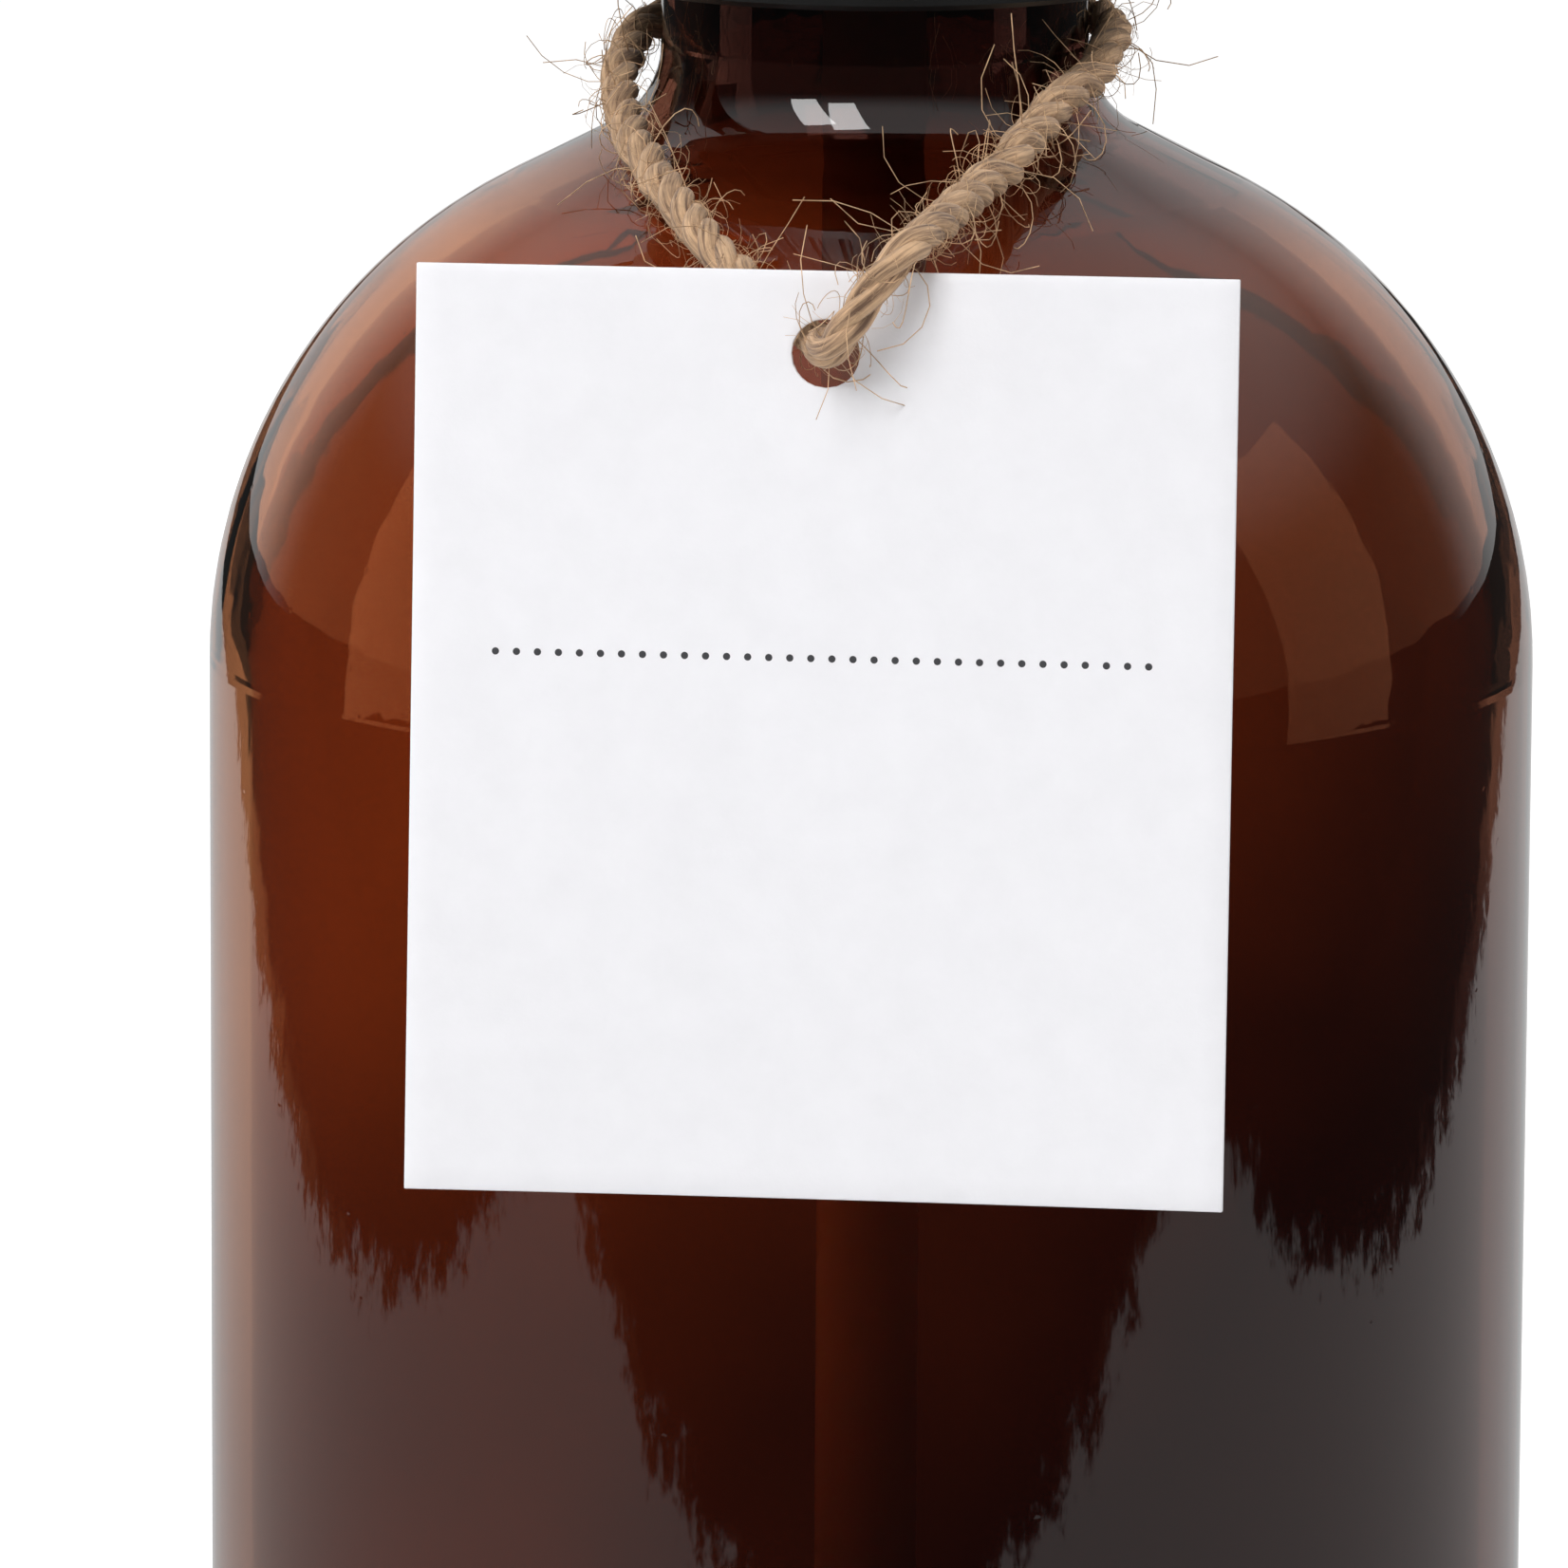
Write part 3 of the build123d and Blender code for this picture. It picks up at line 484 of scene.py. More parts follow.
def natural_moulding(settings, name, roughness):
    """Uncoloured polypropylene or polyethylene, milky and a little translucent."""
    parts = new_material(name)
    set_inputs(parts[2], Subsurface_Weight=0.25, Subsurface_Scale=1.0 * MM)
    return moulded(
        parts, (colour(settings.natural), colour(settings.natural, 0.93)),
        {"Roughness_Low": roughness, "Roughness_High": roughness + 0.12}, 0.2, 0.02 * MM,
    )


def stainless(name, low, high):
    """Drawn or polished stainless steel."""
    parts = new_material(name)
    set_inputs(parts[2], Metallic=1.0)
    return moulded(
        parts, (colour((0.62, 0.61, 0.6)), colour((0.52, 0.51, 0.5))),
        {"Scale": 6000.0, "Roughness_Low": low, "Roughness_High": high}, 0.15, 0.01 * MM,
    )


def foam_liner():
    """White expanded polyethylene with closed cells."""
    material, tree, shader = new_material("foam_liner")
    tone = use_group(
        tree, "drifting_tone", First=colour((0.85, 0.85, 0.82)), Second=colour((0.76, 0.76, 0.73))
    )
    set_inputs(shader, Roughness=0.7, Base_Color=tone["Color"])
    cells = texture(tree, "Voronoi", "Distance", object_place(tree), Scale=3000.0)
    link_bump(tree, shader, cells, 0.6, 0.08 * MM)
    return material


def twine_jute(settings):
    """Jute: fine fibres that run along the ply, with painted shade in the gaps between them, pale dry hairs
    and a rough sheen.
    """
    material, tree, shader = new_material("twine_jute")
    set_inputs(shader, Roughness=0.92, Sheen_Weight=0.15, Sheen_Roughness=0.6)
    along = add_node(tree, "ShaderNodeAttribute", attribute_name="along").outputs["Fac"]
    around = add_node(tree, "ShaderNodeAttribute", attribute_name="around").outputs["Fac"]
    turn = math_node(tree, "MULTIPLY", around, tau)
    streaks_per_metre = 260.0
    streaks_across = 2.2
    unrolled = wired(
        tree, "ShaderNodeCombineXYZ", "Vector",
        X=math_node(tree, "MULTIPLY", along, streaks_per_metre),
        Y=math_node(tree, "MULTIPLY", math_node(tree, "COSINE", turn), streaks_across),
        Z=math_node(tree, "MULTIPLY", math_node(tree, "SINE", turn), streaks_across),
    )
    fibres = texture(tree, "Noise", "Fac", unrolled, Scale=1.0, Detail=5.0, Roughness=0.7)
    tone = use_group(
        tree, "drifting_tone", Scale=700.0,
        First=colour(settings.light), Second=colour(settings.light, 0.72),
    )
    # painted shade: the dark colour goes where the fibre bump is low, in the hollows between the fibres
    shade = blend(tree, spread(tree, fibres, 0.35, 0.6), colour(settings.dark), tone["Color"])
    tree.links.new(shade, shader.inputs["Base Color"])
    link_bump(tree, shader, fibres, 0.9, 0.12 * MM)
    return material


def stray_jute(settings):
    """Single dry hairs, some paler and some darker than the twine."""
    material, tree, shader = new_material("stray_jute")
    tone = use_group(
        tree, "drifting_tone", Scale=900.0,
        First=colour(settings.light, 1.1), Second=colour(settings.light, 0.45),
    )
    set_inputs(shader, Roughness=0.85, Base_Color=tone["Color"])
    return material


def dotted_rule(tree, settings):
    """Mask of one row of round dots across the card, 1 on the ink."""
    split = split_xyz(tree, add_node(tree, "ShaderNodeUVMap", uv_map="card").outputs["UV"])
    across = split["X"]
    pitch = settings.dot_pitch / settings.width
    beside = math_node(tree, "MULTIPLY", math_node(tree, "PINGPONG", across, pitch / 2), settings.width)
    above = math_node(tree, "SUBTRACT", split["Y"], settings.rule_height)
    above = math_node(tree, "MULTIPLY", above, settings.height)
    apart = math_node(
        tree, "ADD", math_node(tree, "POWER", beside, 2.0), math_node(tree, "MULTIPLY", above, above)
    )
    on_dot = math_node(tree, "LESS_THAN", apart, settings.dot_radius ** 2)
    after = math_node(tree, "GREATER_THAN", across, settings.rule_inset)
    before = math_node(tree, "LESS_THAN", across, 1 - settings.rule_inset)
    return math_node(tree, "MULTIPLY", on_dot, math_node(tree, "MULTIPLY", after, before))


def card_stock(settings, name, printed=False):
    """Uncoated card with a soft mottle; the printed side has the dotted rule and a paper surface."""
    material, tree, shader = new_material(name)
    tone = use_group(
        tree, "drifting_tone", First=colour(settings.card), Second=colour(settings.card, 0.965), Scale=350.0
    )
    surface = tone["Color"]
    if printed:
        surface = blend(tree, dotted_rule(tree, settings), surface, colour(settings.ink))
        pulp = texture(tree, "Noise", "Fac", object_place(tree), Scale=1800.0, Detail=6.0, Roughness=0.7)
        link_bump(tree, shader, pulp, 0.35, 0.04 * MM)
    set_inputs(shader, Roughness=0.9, Base_Color=surface)
    return material


# ---------------------------------------------------------------- mesh helpers
def mesh_object(name, mesh):
    """Links a new object for the mesh, at the origin."""
    piece = bpy.data.objects.new(name, mesh)
    bpy.context.scene.collection.objects.link(piece)
    return piece


def route_line(name, points_mm):
    """Smooth line through a route: the points of its NURBS spline, as a mesh of edges."""
    curve = bpy.data.curves.new(name, "CURVE")
    curve.dimensions = "3D"
    curve.resolution_u = 16
    spline = curve.splines.new("NURBS")
    spline.points.add(len(points_mm) - 1)
    for point, place in zip(spline.points, points_mm):
        point.co = (*(Vector(place) * MM), 1.0)
    spline.order_u = 3
    spline.use_endpoint_u = True
    holder = bpy.data.objects.new(name + "_route", curve)
    bpy.context.scene.collection.objects.link(holder)
    shown = holder.evaluated_get(bpy.context.evaluated_depsgraph_get())
    line = bpy.data.meshes.new_from_object(shown)
    bpy.data.objects.remove(holder)
    bpy.data.curves.remove(curve)
    line.name = name + "_line"
    return line


def apply_nodes(name, line, group, material, **values):
    """Runs a Geometry Nodes group on a line, and keeps its result as a plain mesh object."""
    piece = mesh_object(name, line)
    modifier = piece.modifiers.new("build", "NODES")
    modifier.node_group = group
    sockets = {s.name: s.identifier for s in group.interface.items_tree if s.in_out == "INPUT"}
    for label, value in values.items():
        modifier[sockets[label.replace("_", " ")]] = value
    modifier[sockets["Material"]] = material
    shown = piece.evaluated_get(bpy.context.evaluated_depsgraph_get())
    made = bpy.data.meshes.new_from_object(shown)
    piece.modifiers.remove(modifier)
    piece.data = made
    made.name = name
    return piece


def group_with(name, inputs):
    """A Geometry Nodes group with a geometry in and out, a material, and named inputs."""
    group = bpy.data.node_groups.new(name, "GeometryNodeTree")
    face = group.interface
    face.new_socket("Geometry", in_out="INPUT", socket_type="NodeSocketGeometry")
    face.new_socket("Geometry", in_out="OUTPUT", socket_type="NodeSocketGeometry")
    for label, kind, value in inputs:
        face.new_socket(label, in_out="INPUT", socket_type="NodeSocket" + kind).default_value = value
    face.new_socket("Material", in_out="INPUT", socket_type="NodeSocketMaterial")
    return group, add_node(group, "NodeGroupInput").outputs, add_node(group, "NodeGroupOutput")


def finish_group(group, given, end, geometry):
    """Realizes the instances, shades the mesh smooth and sets its material."""
    real = wired(group, "GeometryNodeRealizeInstances", "Geometry", Geometry=geometry)
    smooth = wired(group, "GeometryNodeSetShadeSmooth", "Geometry", Geometry=real)
    painted = wired(
        group, "GeometryNodeSetMaterial", "Geometry", Geometry=smooth, Material=given["Material"]
    )
    set_inputs(end, Geometry=painted)
    return group


def mark(group, geometry, name, value):
    """Stores a number on a curve's points, so that the material can read it."""
    store = add_node(group, "GeometryNodeStoreNamedAttribute", data_type="FLOAT", domain="POINT")
    set_inputs(store, Name=name, Geometry=geometry, Value=value)
    return store.outputs["Geometry"]


def circle(group, sides, radius):
    """The round profile of a tube."""
    return wired(group, "GeometryNodeCurvePrimitiveCircle", "Curve", Resolution=sides, Radius=radius)


def tube(group, curve, profile, capped=True):
    """A profile swept along a curve."""
    values = {"Curve": curve, "Profile_Curve": profile, "Fill_Caps": capped}
    return wired(group, "GeometryNodeCurveToMesh", "Mesh", **values)


def laid_twine_group(plies=3, sides=14):
    """Plies laid loosely round each other along a line, thinner near the tag."""
    group, given, end = group_with(
        "laid_twine",
        [
            ("Ply Radius", "Float", 0.6 * MM),
            ("Ply Offset", "Float", 0.5 * MM),
            ("Lay Length", "Float", 7.5 * MM),
            ("Slim At Tag", "Float", 0.74),
        ],
    )
    line = wired(group, "GeometryNodeMeshToCurve", "Curve", Mesh=given["Geometry"])
    spaced = add_node(group, "GeometryNodeResampleCurve", mode="LENGTH")
    set_inputs(spaced, Curve=line, Length=0.3 * MM)
    place = add_node(group, "GeometryNodeSplineParameter").outputs
    normal = add_node(group, "GeometryNodeInputNormal").outputs["Normal"]
    tangent = add_node(group, "GeometryNodeInputTangent").outputs["Tangent"]
    side = vector_math(group, "CROSS_PRODUCT", tangent, normal)
    lumps = wired(group, "ShaderNodeTexNoise", "Fac", Scale=900.0, Detail=2.0)
    swell = math_node(group, "ADD", math_node(group, "MULTIPLY", lumps, 0.5), 0.75)
    bend = wired(group, "ShaderNodeTexNoise", "Color", Scale=260.0, Detail=1.0)
    centred = vector_math(group, "SUBTRACT", bend, (0.5, 0.5, 0.5))
    slack = vector_math(group, "SCALE", centred, scale=0.9 * MM)
    spot = split_xyz(group, add_node(group, "GeometryNodeInputPosition").outputs["Position"])
    slim = spread(group, spot["Y"], -41 * MM, -27 * MM, given["Slim At Tag"])
    apart = math_node(group, "MULTIPLY", given["Ply Offset"], slim)
    thickness = math_node(group, "MULTIPLY", swell, slim)
    profile = mark(group, circle(group, sides, given["Ply Radius"]), "around", place["Factor"])
    turn = math_node(group, "DIVIDE", place["Length"], given["Lay Length"])
    joined = add_node(group, "GeometryNodeJoinGeometry")
    for ply in range(plies):
        phase = math_node(group, "MULTIPLY", math_node(group, "ADD", turn, ply / plies), tau)
        outward = math_node(group, "MULTIPLY", math_node(group, "COSINE", phase), apart)
        sideways = math_node(group, "MULTIPLY", math_node(group, "SINE", phase), apart)
        shift = vector_math(
            group, "ADD",
            vector_math(group, "SCALE", normal, scale=outward),
            vector_math(group, "SCALE", side, scale=sideways),
        )
        moved = wired(
            group, "GeometryNodeSetPosition", "Geometry",
            Geometry=spaced.outputs["Curve"], Offset=vector_math(group, "ADD", shift, slack),
        )
        marked = mark(group, moved, "along", place["Length"])
        thick = wired(group, "GeometryNodeSetCurveRadius", "Curve", Curve=marked, Radius=thickness)
        set_inputs(joined, Geometry=tube(group, thick, profile))
    return finish_group(group, given, end, joined.outputs["Geometry"])


def stray_fibres_group():
    """Curly hairs that stand out of a line all the way along it."""
    group, given, end = group_with(
        "stray_fibres",
        [
            ("Count", "Int", 600),
            ("Cord Radius", "Float", 1.1 * MM),
            ("Fibre Radius", "Float", 0.03 * MM),
            ("Reach", "Float", 1.0),
            ("Seed", "Int", 3),
        ],
    )
    line = wired(group, "GeometryNodeMeshToCurve", "Curve", Mesh=given["Geometry"])
    points = add_node(group, "GeometryNodeCurveToPoints", mode="COUNT")
    set_inputs(points, Curve=line, Count=given["Count"])

    def scatter(kind, low, high, offset):
        """Random value for each point, from the group's seed."""
        node = add_node(group, "FunctionNodeRandomValue", data_type=kind)
        lowest, highest, result = {"FLOAT_VECTOR": (0, 1, 0), "FLOAT": (2, 3, 1), "INT": (4, 5, 2)}[kind]
        node.inputs[lowest].default_value = low
        node.inputs[highest].default_value = high
        set_inputs(node, Seed=math_node(group, "ADD", given["Seed"], offset))
        return node.outputs[result]

    jitter = vector_math(
        group, "SCALE", scatter("FLOAT_VECTOR", (-0.7,) * 3, (0.7,) * 3, 1), scale=given["Cord Radius"]
    )
    roots = wired(
        group, "GeometryNodeSetPosition", "Geometry", Geometry=points.outputs["Points"], Offset=jitter
    )
    profile = circle(group, 3, given["Fibre Radius"])
    hairs = add_node(group, "GeometryNodeGeometryToInstance")
    # turns, first radius, last radius and height of each shape of hair, the sizes in millimetres
    shapes = (
        (0.45, 1.1, 2.4, 1.6),
        (0.8, 0.4, 1.5, 1.4),
        (1.3, 0.3, 0.9, 1.8),
        (0.6, 1.9, 0.7, 1.1),
        (0.3, 2.6, 3.4, 1.8),
    )
    for turns, first, last, height in shapes:
        spiral = wired(
            group, "GeometryNodeCurveSpiral", "Curve", Resolution=14, Rotations=turns,
            Start_Radius=first * MM, End_Radius=last * MM, Height=height * MM,
        )
        rooted = wired(
            group, "GeometryNodeSetPosition", "Geometry", Geometry=spiral, Offset=(-first * MM, 0, 0)
        )
        set_inputs(hairs, Geometry=tube(group, rooted, profile, capped=False))
    placed = wired(
        group, "GeometryNodeInstanceOnPoints", "Instances",
        Points=roots,
        Instance=hairs.outputs["Instances"],
        Pick_Instance=True,
        Instance_Index=scatter("INT", 0, len(shapes) - 1, 2),
        Rotation=scatter("FLOAT_VECTOR", (0,) * 3, (tau,) * 3, 3),
        Scale=math_node(group, "MULTIPLY", scatter("FLOAT", 0.35, 1.45, 4), given["Reach"]),
    )
    return finish_group(group, given, end, placed)


def coil_spring_group():
    """Round wire wound in a helix up the Z axis."""
    group, given, end = group_with(
        "coil_spring",
        [
            ("Coils", "Float", 9.0),
            ("Coil Radius", "Float", 3.0 * MM),
            ("Wire Radius", "Float", 0.4 * MM),
            ("Height", "Float", 16.0 * MM),
        ],
    )
    helix = wired(
        group, "GeometryNodeCurveSpiral", "Curve", Resolution=24, Rotations=given["Coils"],
        Start_Radius=given["Coil Radius"], End_Radius=given["Coil Radius"], Height=given["Height"],
    )
    return finish_group(group, given, end, tube(group, helix, circle(group, 10, given["Wire Radius"])))


def ridge_row_group():
    """A small round ridge across every point of a line."""
    group, given, end = group_with(
        "ridge_row", [("Width", "Float", 10 * MM), ("Height", "Float", 1.0 * MM)]
    )

    def side(share):
        """The end of a ridge, at that share of its width."""
        return wired(
            group, "ShaderNodeCombineXYZ", "Vector", Y=math_node(group, "MULTIPLY", given["Width"], share)
        )

    bar = wired(group, "GeometryNodeCurvePrimitiveLine", "Curve", Start=side(-0.5), End=side(0.5))
    profile = circle(group, 12, math_node(group, "MULTIPLY", given["Height"], 0.5))
    placed = wired(
        group, "GeometryNodeInstanceOnPoints", "Instances",
        Points=given["Geometry"], Instance=tube(group, bar, profile),
    )
    return finish_group(group, given, end, placed)


def card_grid(settings, bow):
    """The card's sheet as quads, with a ring of quads round the hole, and its flat place as UVs."""
    half_width = settings.width / 2
    half_height = settings.height / 2
    hole_y = half_height - settings.hole_drop
    block = settings.hole_radius * 1.75
    per_side = 6

    def steps(low, high, count):
        """Evenly spaced values from low up to, but without, high."""
        return [low + (high - low) * i / count for i in range(count)]

    columns = steps(-half_width, -block, 14) + steps(-block, block, per_side) + steps(block, half_width, 14)
    columns.append(half_width)
    rows = steps(-half_height, hole_y - block, 30) + steps(hole_y - block, hole_y + block, per_side)
    rows += steps(hole_y + block, half_height, 2) + [half_height]
    build = bmesh.new()
    flat = {}

    def vertex(x, y):
        """Vertex at a place on the flat card, bowed outwards."""
        key = (round(x, 8), round(y, 8))
        if key not in flat:
            proud = TAG_OUT * bow(x / half_width, y / half_height)
            flat[key] = build.verts.new(TAG_CENTRE + TAG_ACROSS * x + TAG_UP * y + proud)
        return flat[key]

    places = {}
    for left, right in zip(columns, columns[1:]):
        for low, high in zip(rows, rows[1:]):
            in_block = abs((left + right) / 2) < block and abs((low + high) / 2 - hole_y) < block
            if in_block:
                continue
            corners = [(left, low), (right, low), (right, high), (left, high)]
            face = build.faces.new([vertex(*c) for c in corners])
            places[face] = corners
    edge = [(x, hole_y - block) for x in steps(-block, block, per_side)]
    edge += [(block, y) for y in steps(hole_y - block, hole_y + block, per_side)]
    edge += [(-x, hole_y + block) for x in steps(-block, block, per_side)]
    edge += [(-block, 2 * hole_y - y) for y in steps(hole_y - block, hole_y + block, per_side)]
    rings = [edge]
    for share in (0.5, 0.8, 1.0):
        ring = []
        for x, y in edge:
            reach = Vector((x, y - hole_y))
            circle = reach.normalized() * settings.hole_radius
            ring.append(tuple(Vector((x, y)).lerp(circle + Vector((0, hole_y)), share)))
        rings.append(ring)
    for outer, inner in zip(rings, rings[1:]):
        for i in range(len(edge)):
            j = (i + 1) % len(edge)
            corners = [outer[i], outer[j], inner[j], inner[i]]
            face = build.faces.new([vertex(*c) for c in corners])
            places[face] = corners
    layer = build.loops.layers.uv.new("card")
    for face, corners in places.items():
        face.smooth = True
        for loop, (x, y) in zip(face.loops, corners):
            loop[layer].uv = (x / settings.width + 0.5, y / settings.height + 0.5)
    mesh = bpy.data.meshes.new("card_tag")
    build.to_mesh(mesh)
    build.free()
    return mesh


# ---------------------------------------------------------------- operators
class PlaceCamera(bpy.types.Operator):
    """Makes the camera"""
    bl_idname = "spray_bottle.camera"
    bl_label = "Camera"

    def execute(self, context):
        settings = context.scene.spray_camera
        forward = Vector((0, cos(settings.pitch), -sin(settings.pitch)))
        level_up = Vector((0, sin(settings.pitch), cos(settings.pitch)))
        right = Vector((cos(settings.roll), 0, 0)) + level_up * sin(settings.roll)
        up = right.cross(forward)
        data = bpy.data.cameras.new("camera")
        data.lens = settings.lens
        data.sensor_width = 36.0
        data.clip_start = 0.01
        data.clip_end = 50.0
        camera = bpy.data.objects.new("camera", data)
        context.scene.collection.objects.link(camera)
        turn = Matrix((right, up, -forward)).transposed().to_4x4()
        place = Vector(settings.target) - forward * settings.distance
        camera.matrix_world = Matrix.Translation(place) @ turn
        context.scene.camera = camera
        return {"FINISHED"}


class MakeTwine(bpy.types.Operator):
    """Lays the twine, its knot and its stray hairs"""
    bl_idname = "spray_bottle.twine"
    bl_label = "Twine"

    def execute(self, context):
        settings = context.scene.spray_twine
        laid_jute = twine_jute(settings)
        hair_jute = stray_jute(settings)
        laid = laid_twine_group()
        hairs = stray_fibres_group()
        ply_radius = settings.cord_radius * 0.56
        ply_offset = settings.cord_radius * 0.46

        def lay(name, points_mm):
            """Laid twine along a route."""
            return apply_nodes(
                name, route_line(name, points_mm), laid, laid_jute,
                Ply_Radius=ply_radius, Ply_Offset=ply_offset, Lay_Length=settings.lay_length,
            )

        def hair(name, points_mm, count, reach, seed):
            """Stray hairs along a route."""
            return apply_nodes(
                name, route_line(name, points_mm), hairs, hair_jute,
                Count=count, Cord_Radius=settings.cord_radius, Fibre_Radius=settings.fibre_radius,
                Reach=reach, Seed=seed,
            )

        path_line = route_line("twine_path", TWINE_ROUTE_MM)
        twine = lay("jute_twine", TWINE_ROUTE_MM)
        loop_hairs = hair("twine_hairs", TWINE_ROUTE_MM, settings.fibre_count, 1.0, 3)
        short_hairs = hair("twine_fuzz", TWINE_ROUTE_MM, settings.fibre_count * 3, 0.36, 11)
        core = lay("knot_core", KNOT_CORE_MM)
        wrap = lay("knot_wrap", KNOT_WRAP_MM)
        core_hairs = hair("knot_core_hairs", KNOT_CORE_MM, 120, 0.7, 5)
        wrap_hairs = hair("knot_wrap_hairs", KNOT_WRAP_MM, 200, 0.7, 7)
        pieces = [twine, loop_hairs, short_hairs, core, wrap, core_hairs, wrap_hairs]
        for piece in pieces:
            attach(piece, "string")
        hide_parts("twine")
        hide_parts("twine_knot")
        return {"FINISHED"}


class MakeTag(bpy.types.Operator):
    """Makes the card tag"""
    bl_idname = "spray_bottle.tag"
    bl_label = "Tag"

    def execute(self, context):
        settings = context.scene.spray_tag

        def bow(x, y):
            """How far the card stands out at a place from -1 to 1 each way."""
            lower = max(0.0, 0.4 - y)
            return settings.curl * (x * x * lower + 0.25 * x * x)

        card = mesh_object("card_tag", card_grid(settings, bow))
        card.data.materials.append(card_stock(settings, "card_front", printed=True))
        card.data.materials.append(card_stock(settings, "card_back"))
        card.data.materials.append(card_stock(settings, "card_edge"))
        wall = card.modifiers.new("thickness", "SOLIDIFY")
        wall.thickness = settings.thickness
        wall.offset = 0.0
        wall.material_offset = 1
        wall.material_offset_rim = 2
        soften = card.modifiers.new("soft_edge", "BEVEL")
        soften.width = 0.07 * MM
        soften.segments = 2
        soften.limit_method = "ANGLE"
        soften.angle_limit = radians(50)
        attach(card, "tag")
        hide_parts("hang_tag")
        return {"FINISHED"}


def paint(node, material):
    """Gives a CAD node a material in its own slot."""
    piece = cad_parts[node]
    if not piece.material_slots:
        piece.data.materials.append(material)
    for slot in piece.material_slots:
        slot.material = material


class FinishBottle(bpy.types.Operator):
    """Gives the bottle its amber glass"""
    bl_idname = "spray_bottle.bottle"
    bl_label = "Bottle"

    def execute(self, context):
        paint("bottle", amber_glass(context.scene.spray_glass))
        return {"FINISHED"}


class FinishSprayer(bpy.types.Operator):
    """Gives the closure, shroud, body, trigger and nozzle their moulded finish"""
    bl_idname = "spray_bottle.sprayer"
    bl_label = "Sprayer"

    def execute(self, context):
        settings = context.scene.spray_plastic
        satin = black_moulding(settings, "black_satin", 3500.0, 0.34, 0.46)
        grained = black_moulding(settings, "black_grained", 2200.0, 0.45, 0.6)
        for node in ("closure", "sprayer_body", "valve_plug"):
            paint(node, satin)
        paint("shroud", grained)
        paint("trigger", satin)
        paint("nozzle", grained)
        return {"FINISHED"}


class FinishInnerParts(bpy.types.Operator):
    """Finishes the tube, valve parts, piston, springs and seals"""
    bl_idname = "spray_bottle.inner_parts"
    bl_label = "Inner parts"

    def execute(self, context):
        settings = context.scene.spray_plastic
        milky = natural_moulding(settings, "natural_moulding", 0.35)
        soft = natural_moulding(settings, "soft_seal", 0.55)
        paint("dip_tube", natural_moulding(settings, "tube_plastic", 0.25))
        for node in ("tube_retainer", "piston", "swirl_insert"):
            paint(node, milky)
        for node in ("piston_seal", "nozzle_seal"):
            paint(node, soft)
        paint("neck_gasket", foam_liner())
        ball_steel = stainless("ball_steel", 0.08, 0.16)
        wire_steel = stainless("wire_steel", 0.22, 0.38)
        for node in ("inlet_ball", "outlet_ball"):
            paint(node, ball_steel)
        winding = coil_spring_group()

        def wind(name, node, along, coils, wire_radius):
            """A coil spring in the place of a CAD spring."""
            low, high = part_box(node)
            size = high - low
            foot = (low + high) / 2 - along * (size.dot(along) / 2 - wire_radius)
            spring = apply_nodes(
                name, bpy.data.meshes.new(name), winding, wire_steel, Coils=coils,
                Coil_Radius=size.y / 2 - wire_radius, Wire_Radius=wire_radius,
                Height=size.dot(along) - 2 * wire_radius,
            )
            turn = along.to_track_quat("Z", "Y").to_matrix().to_4x4()
            spring.data.transform(Matrix.Translation(foot) @ turn)
            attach(spring, "head")
            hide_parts(node)
            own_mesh(spring)

        wind("trigger_return_spring", "return_spring", Vector((1, 0, 0)), 9.0, 0.4 * MM)
        wind("valve_spring", "outlet_spring", Vector((0, 0, 1)), 5.0, 0.2 * MM)
        return {"FINISHED"}


class MakeRidges(bpy.types.Operator):
    """Adds the finger ridges on the trigger"""
    bl_idname = "spray_bottle.ridges"
    bl_label = "Trigger ridges"

    def execute(self, context):
        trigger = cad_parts["trigger"]
        lowest_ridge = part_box("trigger")[0].z + 5 * MM
        ridge_count = 9
        ridge_pitch = 3.2 * MM
        spots = []
        for step in range(ridge_count):
            z = lowest_ridge + step * ridge_pitch
            near = [v.co for v in trigger.data.vertices if abs(v.co.z - z) < 2.5 * MM]
            front = [v for v in near if v.x < min(p.x for p in near) + 1.2 * MM]
            pair = sorted(front, key=lambda v: v.z)
            below, above = pair[0], pair[-1]
            share = min(max((z - below.z) / max(above.z - below.z, 1e-9), 0), 1)
            spots.append(Vector((below.x + (above.x - below.x) * share + 0.25 * MM, 0, z)))
        line = bpy.data.meshes.new("trigger_ridges")
        line.from_pydata(spots, [], [])
        ridges = apply_nodes(
            "trigger_ridges", line, ridge_row_group(), bpy.data.materials["black_satin"],
            Width=11 * MM, Height=1.2 * MM,
        )
        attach(ridges, "trigger")
        return {"FINISHED"}


def add_softbox(name, place, aim, width, height, power):
    """A rectangular area lamp at a place, aimed at a point."""
    data = bpy.data.lights.new(name, "AREA")
    data.shape = "RECTANGLE"
    data.size = width
    data.size_y = height
    data.energy = power
    lamp = bpy.data.objects.new(name, data)
    bpy.context.scene.collection.objects.link(lamp)
    facing = (Vector(aim) - Vector(place)).to_track_quat("-Z", "Y").to_matrix().to_4x4()
    lamp.matrix_world = Matrix.Translation(Vector(place)) @ facing
    return lamp


def ray_kinds(tree):
    """Two masks: rays that look straight or through glass at the white, and rays that mirror it."""
    path = add_node(tree, "ShaderNodeLightPath")
    seen = math_node(tree, "MAXIMUM", path.outputs["Is Camera Ray"], path.outputs["Is Transmission Ray"])
    return seen, path.outputs["Is Glossy Ray"]


